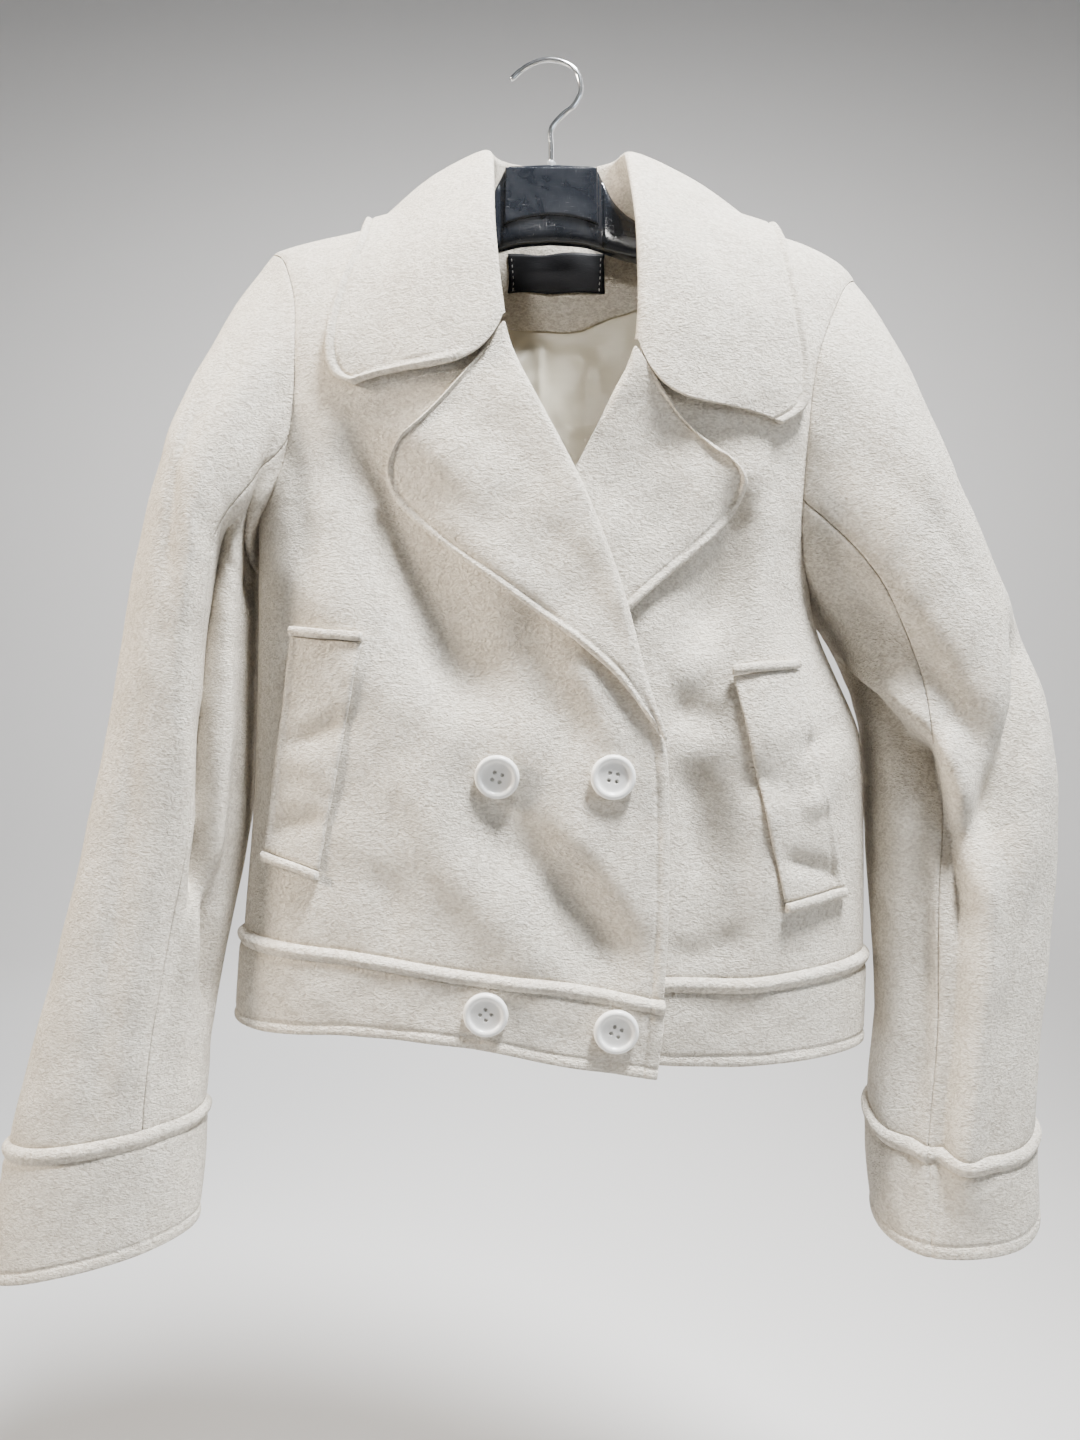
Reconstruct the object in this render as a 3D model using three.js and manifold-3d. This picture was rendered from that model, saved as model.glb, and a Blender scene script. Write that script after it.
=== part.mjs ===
// A double breasted blazer of cream wool cloth, hanging closed on a plastic hanger.
// Millimetres, +Z up, front towards -Y, wearer's right towards -X.
// The origin is the inside of the hook's crown, where the hanger hangs.
import * as THREE from 'three';
import { mergeVertices } from 'three/addons/utils/BufferGeometryUtils.js';
import Module from 'manifold-3d';

const wasm = await Module();
wasm.setup();

// Thicknesses, gaps and the level of the side seams and shoulder ridge
const CLOTH = 2.0;
const BAND = 3.2;
const COLLAR_CLOTH = 2.8;
const LAPEL_CLOTH = 2.4;
const UNDER_LAPEL_CLOTH = 2.0;
const SEAM = 0.3;
const SIDE_Y = -35;
const RIDGE_Y = -2;
const BACK_Y = 27;
const ARMHOLE_STEPS = 12;

// Outline of the body at each height: both sides and the depth of the centre front
const TORSO = [
  { z: -620, left: -186, right: 185, front: -106 },
  { z: -557, left: -182, right: 187, front: -109 },
  { z: -470, left: -175, right: 187, front: -111 },
  { z: -432, left: -173.5, right: 185, front: -112 },
  { z: -417, left: -173, right: 180, front: -112 },
  { z: -395, left: -172.5, right: 170, front: -112 },
  { z: -371, left: -172, right: 160, front: -112 },
  { z: -345, left: -172, right: 155, front: -111 },
  { z: -305, left: -172, right: 160, front: -110 },
  { z: -260, left: -173, right: 172, front: -107 },
  { z: -200, left: -175, right: 186, front: -100 },
  { z: -146, left: -177, right: 197, front: -90 },
  { z: -60, left: -178, right: 198, front: -66 },
];

// Ridge of the shoulders; across the neck it runs on as an unseen line
const SHOULDER = [
  { x: -174, z: -127.5 },
  { x: -150, z: -122 },
  { x: -114, z: -115 },
  { x: -90, z: -108.5 },
  { x: -58, z: -94 },
  { x: -30, z: -73 },
  { x: 6, z: -62 },
  { x: 42, z: -73 },
  { x: 70, z: -94 },
  { x: 90, z: -102.5 },
  { x: 114, z: -109.5 },
  { x: 138, z: -117 },
  { x: 160, z: -124 },
  { x: 180, z: -134 },
  { x: 193, z: -146.5 },
];
const FRONT_REACH = 105;
const BACK_REACH = 45;
const FRONT_POWER = 2.6;
const BACK_POWER = 4;

// Armhole of each side: x of the seam on the front and on the back at each height
const ARMHOLE_RIGHT = [
  { z: -127.5, front: -174, back: -174 },
  { z: -140, front: -162, back: -166 },
  { z: -157, front: -153.5, back: -160 },
  { z: -177, front: -147, back: -156 },
  { z: -202, front: -144, back: -153 },
  { z: -239, front: -144, back: -153 },
  { z: -263, front: -147.5, back: -157 },
  { z: -287, front: -156, back: -163 },
  { z: -305, front: -172, back: -172 },
];
const ARMHOLE_LEFT = [
  { z: -146.5, front: 193, back: 193 },
  { z: -160, front: 179, back: 184 },
  { z: -174, front: 170, back: 176 },
  { z: -209, front: 154.5, back: 164 },
  { z: -235, front: 149, back: 158 },
  { z: -265, front: 146, back: 153 },
  { z: -307, front: 144, back: 148 },
  { z: -332, front: 147, back: 150 },
  { z: -345, front: 155, back: 155 },
];

// Inner edge of each front: neck seam, then roll line, then front edge
const EDGE_RIGHT = [
  { z: -94, x: -58 },
  { z: -120, x: -50 },
  { z: -150, x: -44 },
  { z: -185, x: -34 },
  { z: -203, x: -27 },
  { z: -232, x: -15 },
  { z: -256, x: -2 },
  { z: -286, x: 13 },
  { z: -310, x: 24 },
  { z: -340, x: 35 },
  { z: -366, x: 43 },
  { z: -394, x: 50 },
  { z: -421, x: 58 },
  { z: -436, x: 63.5 },
  { z: -507, x: 65 },
  { z: -576, x: 62 },
  { z: -618, x: 57 },
];
const EDGE_LEFT = [
  { z: -94, x: 70 },
  { z: -120, x: 62 },
  { z: -150, x: 59 },
  { z: -185, x: 55.5 },
  { z: -219, x: 49 },
  { z: -235, x: 39 },
  { z: -264, x: 24.5 },
  { z: -286, x: 13.5 },
  { z: -330, x: -12 },
  { z: -380, x: -36 },
  { z: -432, x: -55 },
  { z: -445, x: -56 },
  { z: -565, x: -57 },
  { z: -612, x: -58 },
];

// Seam of the hem band and the hem itself, seen from the front
const HEM = [
  { x: -186, seam: -543, hem: -596 },
  { x: -160, seam: -546, hem: -597 },
  { x: -104, seam: -550, hem: -594 },
  { x: -42, seam: -559, hem: -599 },
  { x: 4, seam: -564, hem: -608 },
  { x: 62, seam: -575, hem: -617 },
];
const HEM_LEFT = [
  { x: -58, seam: -563, hem: -597 },
  { x: 0, seam: -563, hem: -603 },
  { x: 62, seam: -564, hem: -611 },
  { x: 108, seam: -564, hem: -611 },
  { x: 145, seam: -561, hem: -610 },
  { x: 187, seam: -556, hem: -609 },
];

// Soft troughs and ridges of the body, as lines with a width and a depth inwards
const FRONT_FOLDS = [
  { x0: -135, z0: -255, x1: -62, z1: -405, width: 26, depth: 6 },
  { x0: -150, z0: -330, x1: -120, z1: -370, width: 16, depth: -3 },
  { x0: 8, z0: -500, x1: 38, z1: -560, width: 15, depth: 3.5 },
  { x0: -20, z0: -500, x1: 0, z1: -560, width: 14, depth: -2.5 },
  { x0: 105, z0: -315, x1: 80, z1: -420, width: 20, depth: 6 },
  { x0: 135, z0: -350, x1: 158, z1: -430, width: 12, depth: 5 },
  { x0: 82, z0: -430, x1: 90, z1: -540, width: 16, depth: 4 },
  { x0: 112, z0: -380, x1: 128, z1: -540, width: 15, depth: -3 },
];
const BACK_FOLDS = [
  { x0: -130, z0: -240, x1: -105, z1: -480, width: 22, depth: -5 },
  { x0: 120, z0: -260, x1: 95, z1: -500, width: 20, depth: -5 },
  { x0: -20, z0: -330, x1: -30, z1: -540, width: 26, depth: -3.5 },
  { x0: 40, z0: -380, x1: 55, z1: -540, width: 18, depth: -3 },
];

// Sleeves: innermost and outermost point of each ring, the middle of its depth, half its
// depth, and how far the front of the ring drops below its back for each millimetre
const SLEEVE_RIGHT = [
  { k: 0, ix: -172, iz: -305, ox: -174, oz: -127.5, y: -36, half: 60, drop: 0 },
  { k: 1, ix: -175, iz: -318, ox: -192, oz: -160, y: -37, half: 62, drop: 0 },
  { k: 2, ix: -176.5, iz: -330, ox: -207, oz: -205, y: -38, half: 64, drop: 0 },
  { k: 3, ix: -177, iz: -345, ox: -219, oz: -245, y: -38, half: 64, drop: 0 },
  { k: 4, ix: -177.5, iz: -363, ox: -231, oz: -290, y: -39, half: 62, drop: 0 },
  { k: 5, ix: -178, iz: -390, ox: -243, oz: -348, y: -40, half: 59, drop: 0 },
  { k: 6, ix: -178.5, iz: -430, ox: -254, oz: -409, y: -42, half: 55, drop: 0 },
  { k: 7, ix: -181, iz: -485, ox: -270, oz: -481, y: -46, half: 48, drop: 0.05 },
  { k: 8, ix: -191, iz: -545, ox: -286, oz: -555, y: -52, half: 41, drop: 0.1 },
  { k: 9, ix: -199, iz: -600, ox: -300, oz: -612, y: -57, half: 35, drop: 0.1 },
  { k: 10, ix: -202, iz: -645, ox: -312, oz: -664, y: -60, half: 31, drop: 0.1 },
  { k: 11, ix: -207, iz: -712, ox: -323, oz: -742, y: -63, half: 28, drop: 0.1 },
];
const SLEEVE_LEFT = [
  { k: 0, ix: 155, iz: -345, ox: 193, oz: -146.5, y: -36, half: 60, drop: 0 },
  { k: 1, ix: 159, iz: -353, ox: 198, oz: -162, y: -37, half: 63, drop: 0 },
  { k: 2, ix: 166, iz: -364, ox: 211, oz: -200, y: -38, half: 64, drop: 0 },
  { k: 3, ix: 174, iz: -377, ox: 230.5, oz: -256, y: -39, half: 63, drop: 0 },
  { k: 4, ix: 181.5, iz: -394, ox: 250.5, oz: -305, y: -41, half: 60, drop: 0 },
  { k: 5, ix: 188.5, iz: -417, ox: 272, oz: -358, y: -43, half: 57, drop: 0 },
  { k: 6, ix: 191, iz: -445, ox: 290, oz: -408, y: -45, half: 54, drop: 0 },
  { k: 7, ix: 191.5, iz: -480, ox: 297, oz: -458, y: -48, half: 50, drop: 0.05 },
  { k: 8, ix: 193, iz: -528, ox: 292, oz: -520, y: -52, half: 45, drop: 0.15 },
  { k: 9, ix: 194, iz: -590, ox: 284, oz: -583, y: -58, half: 40, drop: 0.25 },
  { k: 10, ix: 188, iz: -648, ox: 279, oz: -650, y: -63, half: 36, drop: 0.35 },
  { k: 11, ix: 191, iz: -709, ox: 279, oz: -702, y: -66, half: 33, drop: 0.35 },
];
const CUFF_AT = 10;

// Creases of the sleeves: from one angle and ring to another, with width in degrees
const CREASES_RIGHT = [
  { a0: 148, k0: 1.2, a1: 128, k1: 5.2, width: 13, depth: 9 },
  { a0: 96, k0: 1.5, a1: 118, k1: 6.5, width: 16, depth: -5 },
  { a0: 120, k0: 5, a1: 135, k1: 9.5, width: 14, depth: 5 },
  { a0: -110, k0: 2, a1: -130, k1: 6, width: 16, depth: 6 },
];
const CREASES_LEFT = [
  { a0: 150, k0: 2, a1: 95, k1: 6.2, width: 13, depth: 7 },
  { a0: 55, k0: 6.4, a1: 75, k1: 8.8, width: 16, depth: 7 },
  { a0: 105, k0: 6.5, a1: 100, k1: 10, width: 12, depth: -4 },
  { a0: 130, k0: 6, a1: 135, k1: 10, width: 14, depth: 6 },
  { a0: -120, k0: 2, a1: -95, k1: 7, width: 16, depth: 6 },
];

// Neck edge of the back panel, between the two shoulder seams
const NECK_BACK = [
  { x: -58, z: -94 },
  { x: -42, z: -97 },
  { x: -20, z: -98.5 },
  { x: 6, z: -99 },
  { x: 32, z: -98.5 },
  { x: 54, z: -97 },
  { x: 70, z: -94 },
];

// Collar, station by station from the right gorge round the back of the neck to the left
// gorge: where it is sewn on, the crest of the roll and the outer edge. Along a front the
// seam is given by its height, and round the back of the neck by its x. The dip bends an
// end of the collar down to its notch.
const COLLAR = [
  { s: 0, on: 'right', seam: -198, crest: [-26, -108, -201], edge: [-108, -98, -236.5], dip: 13.5 },
  { s: 1, on: 'right', seam: -192, crest: [-26.5, -108, -194], edge: [-120.5, -95, -229], dip: 11 },
  { s: 2, on: 'right', seam: -178, crest: [-28, -106, -180], edge: [-124, -90, -210], dip: 3 },
  { s: 3, on: 'right', seam: -148, crest: [-31, -96, -145], edge: [-119, -80, -178], dip: 0 },
  { s: 4, on: 'right', seam: -117, crest: [-32.5, -68, -108], edge: [-111, -56, -147], dip: 0 },
  { s: 5, on: 'right', seam: -100, crest: [-34.5, -32, -77], edge: [-110, -24, -122], dip: 0 },
  { s: 6, on: 'back', seam: -57, crest: [-37, -3, -60], edge: [-112, 2, -110.5], dip: 0 },
  { s: 7, on: 'back', seam: -42, crest: [-31, 18, -55], edge: [-98, 35, -128], dip: 0 },
  { s: 8, on: 'back', seam: -18, crest: [-14, 26, -55], edge: [-58, 38, -146], dip: 0 },
  { s: 9, on: 'back', seam: 6, crest: [6, 28, -57], edge: [6, 38, -150], dip: 0 },
  { s: 10, on: 'back', seam: 30, crest: [27, 26, -56], edge: [72, 38, -147], dip: 0 },
  { s: 11, on: 'back', seam: 54, crest: [43, 18, -56], edge: [118, 35, -130], dip: 0 },
  { s: 12, on: 'back', seam: 69, crest: [49, -3, -61], edge: [137, 2, -112], dip: 0 },
  { s: 13, on: 'left', seam: -100, crest: [48.5, -32, -79], edge: [138, -24, -128], dip: 0 },
  { s: 14, on: 'left', seam: -117, crest: [48.5, -66, -110], edge: [139, -56, -161], dip: 0 },
  { s: 15, on: 'left', seam: -150, crest: [49.5, -96, -148], edge: [142, -80, -196], dip: 0 },
  { s: 16, on: 'left', seam: -190, crest: [50, -106, -188], edge: [146, -90, -227], dip: 3 },
  { s: 17, on: 'left', seam: -207, crest: [49.5, -108, -208], edge: [143, -92, -247], dip: 10 },
  { s: 18, on: 'left', seam: -213, crest: [49, -108, -215], edge: [129, -96, -257.5], dip: 17 },
];
const COLLAR_CELLS = 36;
const COLLAR_CLEAR = 4.2;

// Lapels: each row runs from the roll line to the outer edge, from the gorge to the break
const LAPEL_RIGHT = [
  { k: 0, ix: -25, iz: -205, ox: -80, oz: -265, sag: 4.5 },
  { k: 1, ix: -20, iz: -219, ox: -88.5, oz: -277, sag: 4 },
  { k: 2, ix: -13, iz: -234, ox: -89.5, oz: -287, sag: 3 },
  { k: 3, ix: -1, iz: -257, ox: -84, oz: -301, sag: 1 },
  { k: 4, ix: 14, iz: -286, ox: -68, oz: -317, sag: 0 },
  { k: 5, ix: 25, iz: -311, ox: -42, oz: -337, sag: 0 },
  { k: 6, ix: 36, iz: -340, ox: -14, oz: -358, sag: 0 },
  { k: 7, ix: 44, iz: -367, ox: 12, oz: -377, sag: 0 },
  { k: 8, ix: 51, iz: -394, ox: 34, oz: -396, sag: 0 },
  { k: 9, ix: 58.5, iz: -419, ox: 50, oz: -415, sag: 0 },
  { k: 10, ix: 63, iz: -432, ox: 59, oz: -427, sag: 0 },
];
const LAPEL_LEFT = [
  { k: 0, ix: 47, iz: -219, ox: 98, oz: -275.5, sag: 7 },
  { k: 1, ix: 42, iz: -230, ox: 107, oz: -285, sag: 5 },
  { k: 2, ix: 36, iz: -241, ox: 108.5, oz: -294, sag: 3 },
  { k: 3, ix: 24.5, iz: -264, ox: 100, oz: -310, sag: 1 },
  { k: 4, ix: 12, iz: -288, ox: 82, oz: -328, sag: 0 },
  { k: 5, ix: 0, iz: -309, ox: 60, oz: -347, sag: 0 },
  { k: 6, ix: -12, iz: -330, ox: 36, oz: -368, sag: 0 },
  { k: 7, ix: -24, iz: -354, ox: 10, oz: -389, sag: 0 },
  { k: 8, ix: -36, iz: -380, ox: -14, oz: -406, sag: 0 },
  { k: 9, ix: -48, iz: -411, ox: -40, oz: -421, sag: 0 },
  { k: 10, ix: -53, iz: -429, ox: -50, oz: -429, sag: 0 },
];

// Pocket welts: inner and outer edge at the top and at the bottom
const POCKET_RIGHT = { top: [[-142, -374], [-101, -379]], bottom: [[-160, -495], [-126, -504]] };
const POCKET_LEFT = { top: [[100.5, -397], [138, -393]], bottom: [[128, -521], [166, -515]] };
const WELT_CLOTH = 2.2;
const WELT_STAND = 3.2;
const POCKET_BAR = 5;

// Buttons, each pressed lightly on the cloth
const BUTTONS = [
  { name: 'button_upper_outer', x: -28, z: -451, onBand: false },
  { name: 'button_upper_inner', x: 34, z: -451.5, onBand: false },
  { name: 'button_lower_outer', x: -34, z: -579, onBand: true },
  { name: 'button_lower_inner', x: 36, z: -588, onBand: true },
];
const BUTTON_RADIUS = 12.2;
const BUTTON_HEIGHT = 4.2;
const BUTTON_HOLE_SPREAD = 2.6;
const BUTTON_HOLE_RADIUS = 1.0;
const BUTTON_CLEAR = 0.9;

// Hanger: top and bottom of the moulded body and half its thickness, from its middle out
const HANGER_X = 2;
const HANGER_Y = -4;
const HANGER = [
  { x: 0, top: -69, bottom: -118, half: 7 },
  { x: 20, top: -70, bottom: -119.5, half: 7 },
  { x: 28, top: -71, bottom: -121.5, half: 7 },
  { x: 33, top: -80, bottom: -123, half: 7.2 },
  { x: 39, top: -92, bottom: -125, half: 7.6 },
  { x: 47, top: -101, bottom: -127.5, half: 8 },
  { x: 56, top: -106.5, bottom: -129.5, half: 8.5 },
  { x: 80, top: -113.5, bottom: -133, half: 9 },
  { x: 110, top: -117.5, bottom: -137, half: 9.5 },
  { x: 140, top: -122, bottom: -142, half: 10 },
  { x: 156, top: -125.9, bottom: -146, half: 9 },
];
const HANGER_PANEL = { half: 29, top: -74, bottom: -108, arch: -99, depth: 6, proud: 1.6 };
const FERRULE = { radius: 3, neck: 2.3, height: 5 };
const HOOK_RADIUS = 1.6;
const HOOK_PATH = [
  [2, -63.4], [2, -54], [2, -43], [9, -34], [17, -27], [21, -17],
  [17.8, -5.5], [9.5, 0], [0, HOOK_RADIUS], [-9, -0.6], [-17, -5], [-24, -11.5],
];

// Cubic through one named column of a table, at any value of its key
function column(table, key, name) {
  const rows = [...table].sort((a, b) => a[key] - b[key]);
  const last = rows.length - 1;
  const slope = (i) => {
    const a = rows[Math.max(i - 1, 0)];
    const b = rows[Math.min(i + 1, last)];
    return (b[name] - a[name]) / (b[key] - a[key]);
  };
  return (at) => {
    const k = Math.min(Math.max(at, rows[0][key]), rows[last][key]);
    let i = 0;
    while (i < last - 1 && k > rows[i + 1][key]) i += 1;
    const span = rows[i + 1][key] - rows[i][key];
    const q = (k - rows[i][key]) / span;
    const rise = rows[i + 1][name] - rows[i][name];
    const m0 = slope(i) * span;
    const m1 = slope(i + 1) * span;
    return rows[i][name] + m0 * q + (3 * rise - 2 * m0 - m1) * q * q + (m0 + m1 - 2 * rise) * q ** 3;
  };
}

const mix = (a, b, q) => a + (b - a) * q;
const clamp01 = (q) => Math.min(Math.max(q, 0), 1);
const ease = (q) => clamp01(q) ** 2 * (3 - 2 * clamp01(q));

const torsoLeft = column(TORSO, 'z', 'left');
const torsoRight = column(TORSO, 'z', 'right');
const torsoFront = column(TORSO, 'z', 'front');
const shoulderZ = column(SHOULDER, 'x', 'z');

// Place across the body at a height: -1 at one side, 1 at the other
function across(x, z) {
  const left = torsoLeft(z);
  const right = torsoRight(z);
  return Math.min(Math.abs((2 * x - left - right) / (right - left)), 1);
}

// Quarter round with which the cloth rolls over the shoulder ridge
function rollOver(drop, reach) {
  return Math.sqrt(1 - (1 - clamp01(drop / reach)) ** 2);
}

// Sum of the folds at a point, each a line with a soft cross-section and soft ends
function foldDepth(folds, x, z) {
  let sum = 0;
  for (const f of folds) {
    const dx = f.x1 - f.x0;
    const dz = f.z1 - f.z0;
    const along = ((x - f.x0) * dx + (z - f.z0) * dz) / (dx * dx + dz * dz);
    const q = clamp01(along);
    const away = Math.hypot(x - f.x0 - q * dx, z - f.z0 - q * dz) / f.width;
    const ends = ease((along + 0.15) / 0.4) * ease((1.15 - along) / 0.4);
    sum += f.depth * ends * Math.exp(-away * away);
  }
  return sum;
}

function frontY(x, z) {
  const t = across(x, z);
  const full = SIDE_Y - (SIDE_Y - torsoFront(z)) * (1 - t ** FRONT_POWER) ** (1 / FRONT_POWER);
  const g = rollOver(shoulderZ(x) - z, FRONT_REACH);
  return RIDGE_Y + (full - RIDGE_Y + foldDepth(FRONT_FOLDS, x, z) * (1 - t ** 6)) * g;
}

function backY(x, z) {
  const t = across(x, z);
  const full = SIDE_Y + (BACK_Y - SIDE_Y) * (1 - t ** BACK_POWER) ** (1 / BACK_POWER);
  const g = rollOver(shoulderZ(x) - z, BACK_REACH);
  return RIDGE_Y + (full - RIDGE_Y + foldDepth(BACK_FOLDS, x, z) * (1 - t ** 6)) * g;
}

// Closed solid from lists of points and faces
function solid(points, faces) {
  const geometry = new THREE.BufferGeometry();
  geometry.setAttribute('position', new THREE.Float32BufferAttribute(points.flat(), 3));
  geometry.setIndex(faces.flat());
  return geometry;
}

// Wall of cloth on a surface of two parameters. The points of both faces lie half the
// thickness to each side of the surface. A closed wall joins its last column to its first.
function wall(surface, us, vs, thickness, closed = false) {
  const points = [];
  const step = 1e-4;
  const uEnd = us[us.length - 1];
  const vEnd = vs[vs.length - 1];
  for (const side of [0.5, -0.5]) {
    for (const v of vs) {
      for (const u of us) {
        const du = !closed && u + step > uEnd ? -step : step;
        const dv = v + step > vEnd ? -step : step;
        const p = surface(u, v);
        const alongU = surface(u + du, v).sub(p).multiplyScalar(Math.sign(du));
        const alongV = surface(u, v + dv).sub(p).multiplyScalar(Math.sign(dv));
        const normal = alongU.cross(alongV).normalize();
        const thick = typeof thickness === 'function' ? thickness(u, v) : thickness;
        points.push(p.addScaledVector(normal, side * thick).toArray());
      }
    }
  }
  const nu = us.length;
  const nv = vs.length;
  const inner = nu * nv;
  const faces = [];
  const quad = (a, b, c, d) => faces.push([a, b, c], [a, c, d]);
  const cellsU = closed ? nu : nu - 1;
  for (let j = 0; j < nv - 1; j += 1) {
    for (let i = 0; i < cellsU; i += 1) {
      const a = j * nu + i;
      const b = j * nu + ((i + 1) % nu);
      quad(a, b, b + nu, a + nu);
      quad(inner + a, inner + a + nu, inner + b + nu, inner + b);
    }
  }
  for (let i = 0; i < cellsU; i += 1) {
    const b = (i + 1) % nu;
    const top = (nv - 1) * nu;
    quad(i, inner + i, inner + b, b);
    quad(top + i, top + b, inner + top + b, inner + top + i);
  }
  if (!closed) {
    for (let j = 0; j < nv - 1; j += 1) {
      const a = j * nu;
      const b = a + nu - 1;
      quad(a, a + nu, inner + a + nu, inner + a);
      quad(b, inner + b, inner + b + nu, b + nu);
    }
  }
  return solid(points, faces);
}

// Evenly spread values, or bunched at the end, or at both ends
const even = (n, a = 0, b = 1) => Array.from({ length: n + 1 }, (_, i) => mix(a, b, i / n));
const bunchEnd = (n) => even(n).map((q) => Math.sin((q * Math.PI) / 2));
const bunchBoth = (n) => even(n).map((q) => (1 - Math.cos(q * Math.PI)) / 2);

// Colours and finishes
const finish = (colour, roughness, metalness = 0) =>
  new THREE.MeshStandardMaterial({ color: colour, roughness, metalness });
const WOOL = finish('#e1d8c8', 0.95);
const SATIN = finish('#ded3b8', 0.45);
const LABEL = finish('#17171a', 0.7);
const BUTTON = finish('#efe9dd', 0.35);
const PLASTIC = finish('#0c0d0f', 0.25);
const STEEL = finish('#c9ccd0', 0.18, 1);

const garment = new THREE.Group();
function add(name, geometry, material) {
  const mesh = new THREE.Mesh(geometry, material);
  mesh.name = name;
  garment.add(mesh);
  return mesh;
}

// Rows of a panel: the armhole takes the first share, the side seam the rest
const PIT_SHARE = 0.43;
const SIDE_CELLS = 8;
const PANEL_ROWS = [
  ...bunchBoth(ARMHOLE_STEPS).map((q) => q * PIT_SHARE),
  ...even(SIDE_CELLS, PIT_SHARE, 1).slice(1),
];

// One side of the body: its armhole, its side seam and where the hem band starts
function sideOf(armhole, isRight, seamZ) {
  const frontX = column(armhole, 'z', 'front');
  const backX = column(armhole, 'z', 'back');
  const zs = armhole.map((row) => row.z);
  const tipZ = Math.max(...zs);
  const pitZ = Math.min(...zs);
  const sideX = isRight ? torsoLeft : torsoRight;
  const edge = (v, armholeX) => {
    if (v <= PIT_SHARE) {
      const z = mix(tipZ, pitZ, v / PIT_SHARE);
      return [armholeX(z), z];
    }
    const z = mix(pitZ, seamZ, (v - PIT_SHARE) / (1 - PIT_SHARE));
    return [sideX(z), z];
  };
  return {
    out: isRight ? -1 : 1,
    tipZ,
    pitZ,
    frontEdge: (v) => edge(v, frontX),
    backEdge: (v) => edge(v, backX),
  };
}
// Half the gap of the shoulder seam: a little wider at the tip, where the walls turn
const TIP_GAP = 0.5;
const halfSeam = (side, z) => SEAM / 2 + TIP_GAP * Math.exp(-(((z - side.tipZ) / 10) ** 2));
const RIGHT = sideOf(ARMHOLE_RIGHT, true, HEM[0].seam);
const LEFT = sideOf(ARMHOLE_LEFT, false, HEM_LEFT[HEM_LEFT.length - 1].seam);

// How far the under front lies inwards where the over front laps it
const LAP_DEPTH = 8.5;
const LAP_EDGE = 60;
const LAP_FADE = 60;
function lapDepth(x, z) {
  const besideEdge = 1 - ease((x - LAP_EDGE) / LAP_FADE);
  const belowV = ease((-225 - z) / 55);
  return LAP_DEPTH * besideEdge * belowV;
}

// How far a front stops short of the fold of its lapel, between the gorge and the break
const BREAK_Z = -432;
const FOLD_ROOM = 3.6;
const NECK_FADE = 0.3;
function foldShare(z, gorgeZ) {
  return ease((z - BREAK_Z - 6) / 30) * ease((gorgeZ - z) / 12);
}

// A front panel: from its inner edge to the armhole and side seam
function frontPanel(side, edgeTable, hemTable, gorgeZ, inward) {
  const edgeX = column(edgeTable, 'z', 'x');
  const seamZ = column(hemTable, 'x', 'seam');
  const neckZ = edgeTable[0].z;
  const neckX = edgeX(neckZ);
  const [tipX] = side.frontEdge(0);
  const [sideX, sideZ] = side.frontEdge(1);
  const hemX = edgeX(seamZ(0));
  const seamAtEdge = seamZ(hemX) + SEAM;
  return (u, v) => {
    const ez = mix(neckZ, seamAtEdge, v);
    const ex = edgeX(ez) + side.out * FOLD_ROOM * foldShare(ez, gorgeZ);
    const [ox, oz] = side.frontEdge(v);
    const x = mix(ex, ox, u);
    const topLift = shoulderZ(mix(neckX, tipX, u)) - mix(neckZ, side.tipZ, u);
    const hemLift = seamZ(mix(hemX, sideX, u)) + SEAM - mix(seamAtEdge, sideZ, u);
    const z = mix(ez, oz, u) + topLift * clamp01(1 - v / NECK_FADE) ** 2 + hemLift * v ** 6;
    const y = frontY(x, Math.min(z, shoulderZ(x)));
    return new THREE.Vector3(x, Math.min(y, RIDGE_Y) + inward(x, z) - halfSeam(side, z), z);
  };
}
const GORGE_RIGHT = -203;
const GORGE_LEFT = -219;
const overFront = frontPanel(RIGHT, EDGE_RIGHT, HEM, GORGE_RIGHT, () => 0);
const underFront = frontPanel(LEFT, EDGE_LEFT, HEM_LEFT, GORGE_LEFT, lapDepth);
const FRONT_COLUMNS = [0, 0.1, 0.2, 0.3, 0.4, 0.5, 0.6, 0.7, 0.79, 0.87, 0.935, 0.98, 1];
add('front_right', wall(overFront, FRONT_COLUMNS, PANEL_ROWS, CLOTH), WOOL);
add('front_left', wall(underFront, FRONT_COLUMNS, PANEL_ROWS, CLOTH), WOOL);

// Back panel: one piece, its top edge is both shoulder seams and the neck edge
const neckBackZ = column(NECK_BACK, 'x', 'z');
const neckRightX = NECK_BACK[0].x;
const neckLeftX = NECK_BACK[NECK_BACK.length - 1].x;
// At a shoulder tip the back ends at the ridge, and from below it the side seam takes over
const TIP_LEVEL = 25;
const backTopZ = (x) => (x > neckRightX && x < neckLeftX ? neckBackZ(x) : shoulderZ(x));
function backPanel(u, v) {
  const [rx, rz] = RIGHT.backEdge(v);
  const [lx, lz] = LEFT.backEdge(v);
  const x = mix(rx, lx, u);
  const topX = mix(RIGHT.backEdge(0)[0], LEFT.backEdge(0)[0], u);
  const topLift = backTopZ(topX) - mix(RIGHT.tipZ, LEFT.tipZ, u);
  const z = mix(rz, lz, u) + topLift * clamp01(1 - v / PIT_SHARE) ** 2;
  const side = u < 0.5 ? RIGHT : LEFT;
  const least = mix(RIDGE_Y, SIDE_Y, ease((side.tipZ - z - TIP_LEVEL) / TIP_LEVEL));
  const y = Math.max(backY(x, Math.min(z, shoulderZ(x))), least);
  return new THREE.Vector3(x, y + halfSeam(side, z), z);
}
add('back', wall(backPanel, bunchBoth(20), PANEL_ROWS, CLOTH), WOOL);

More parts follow.
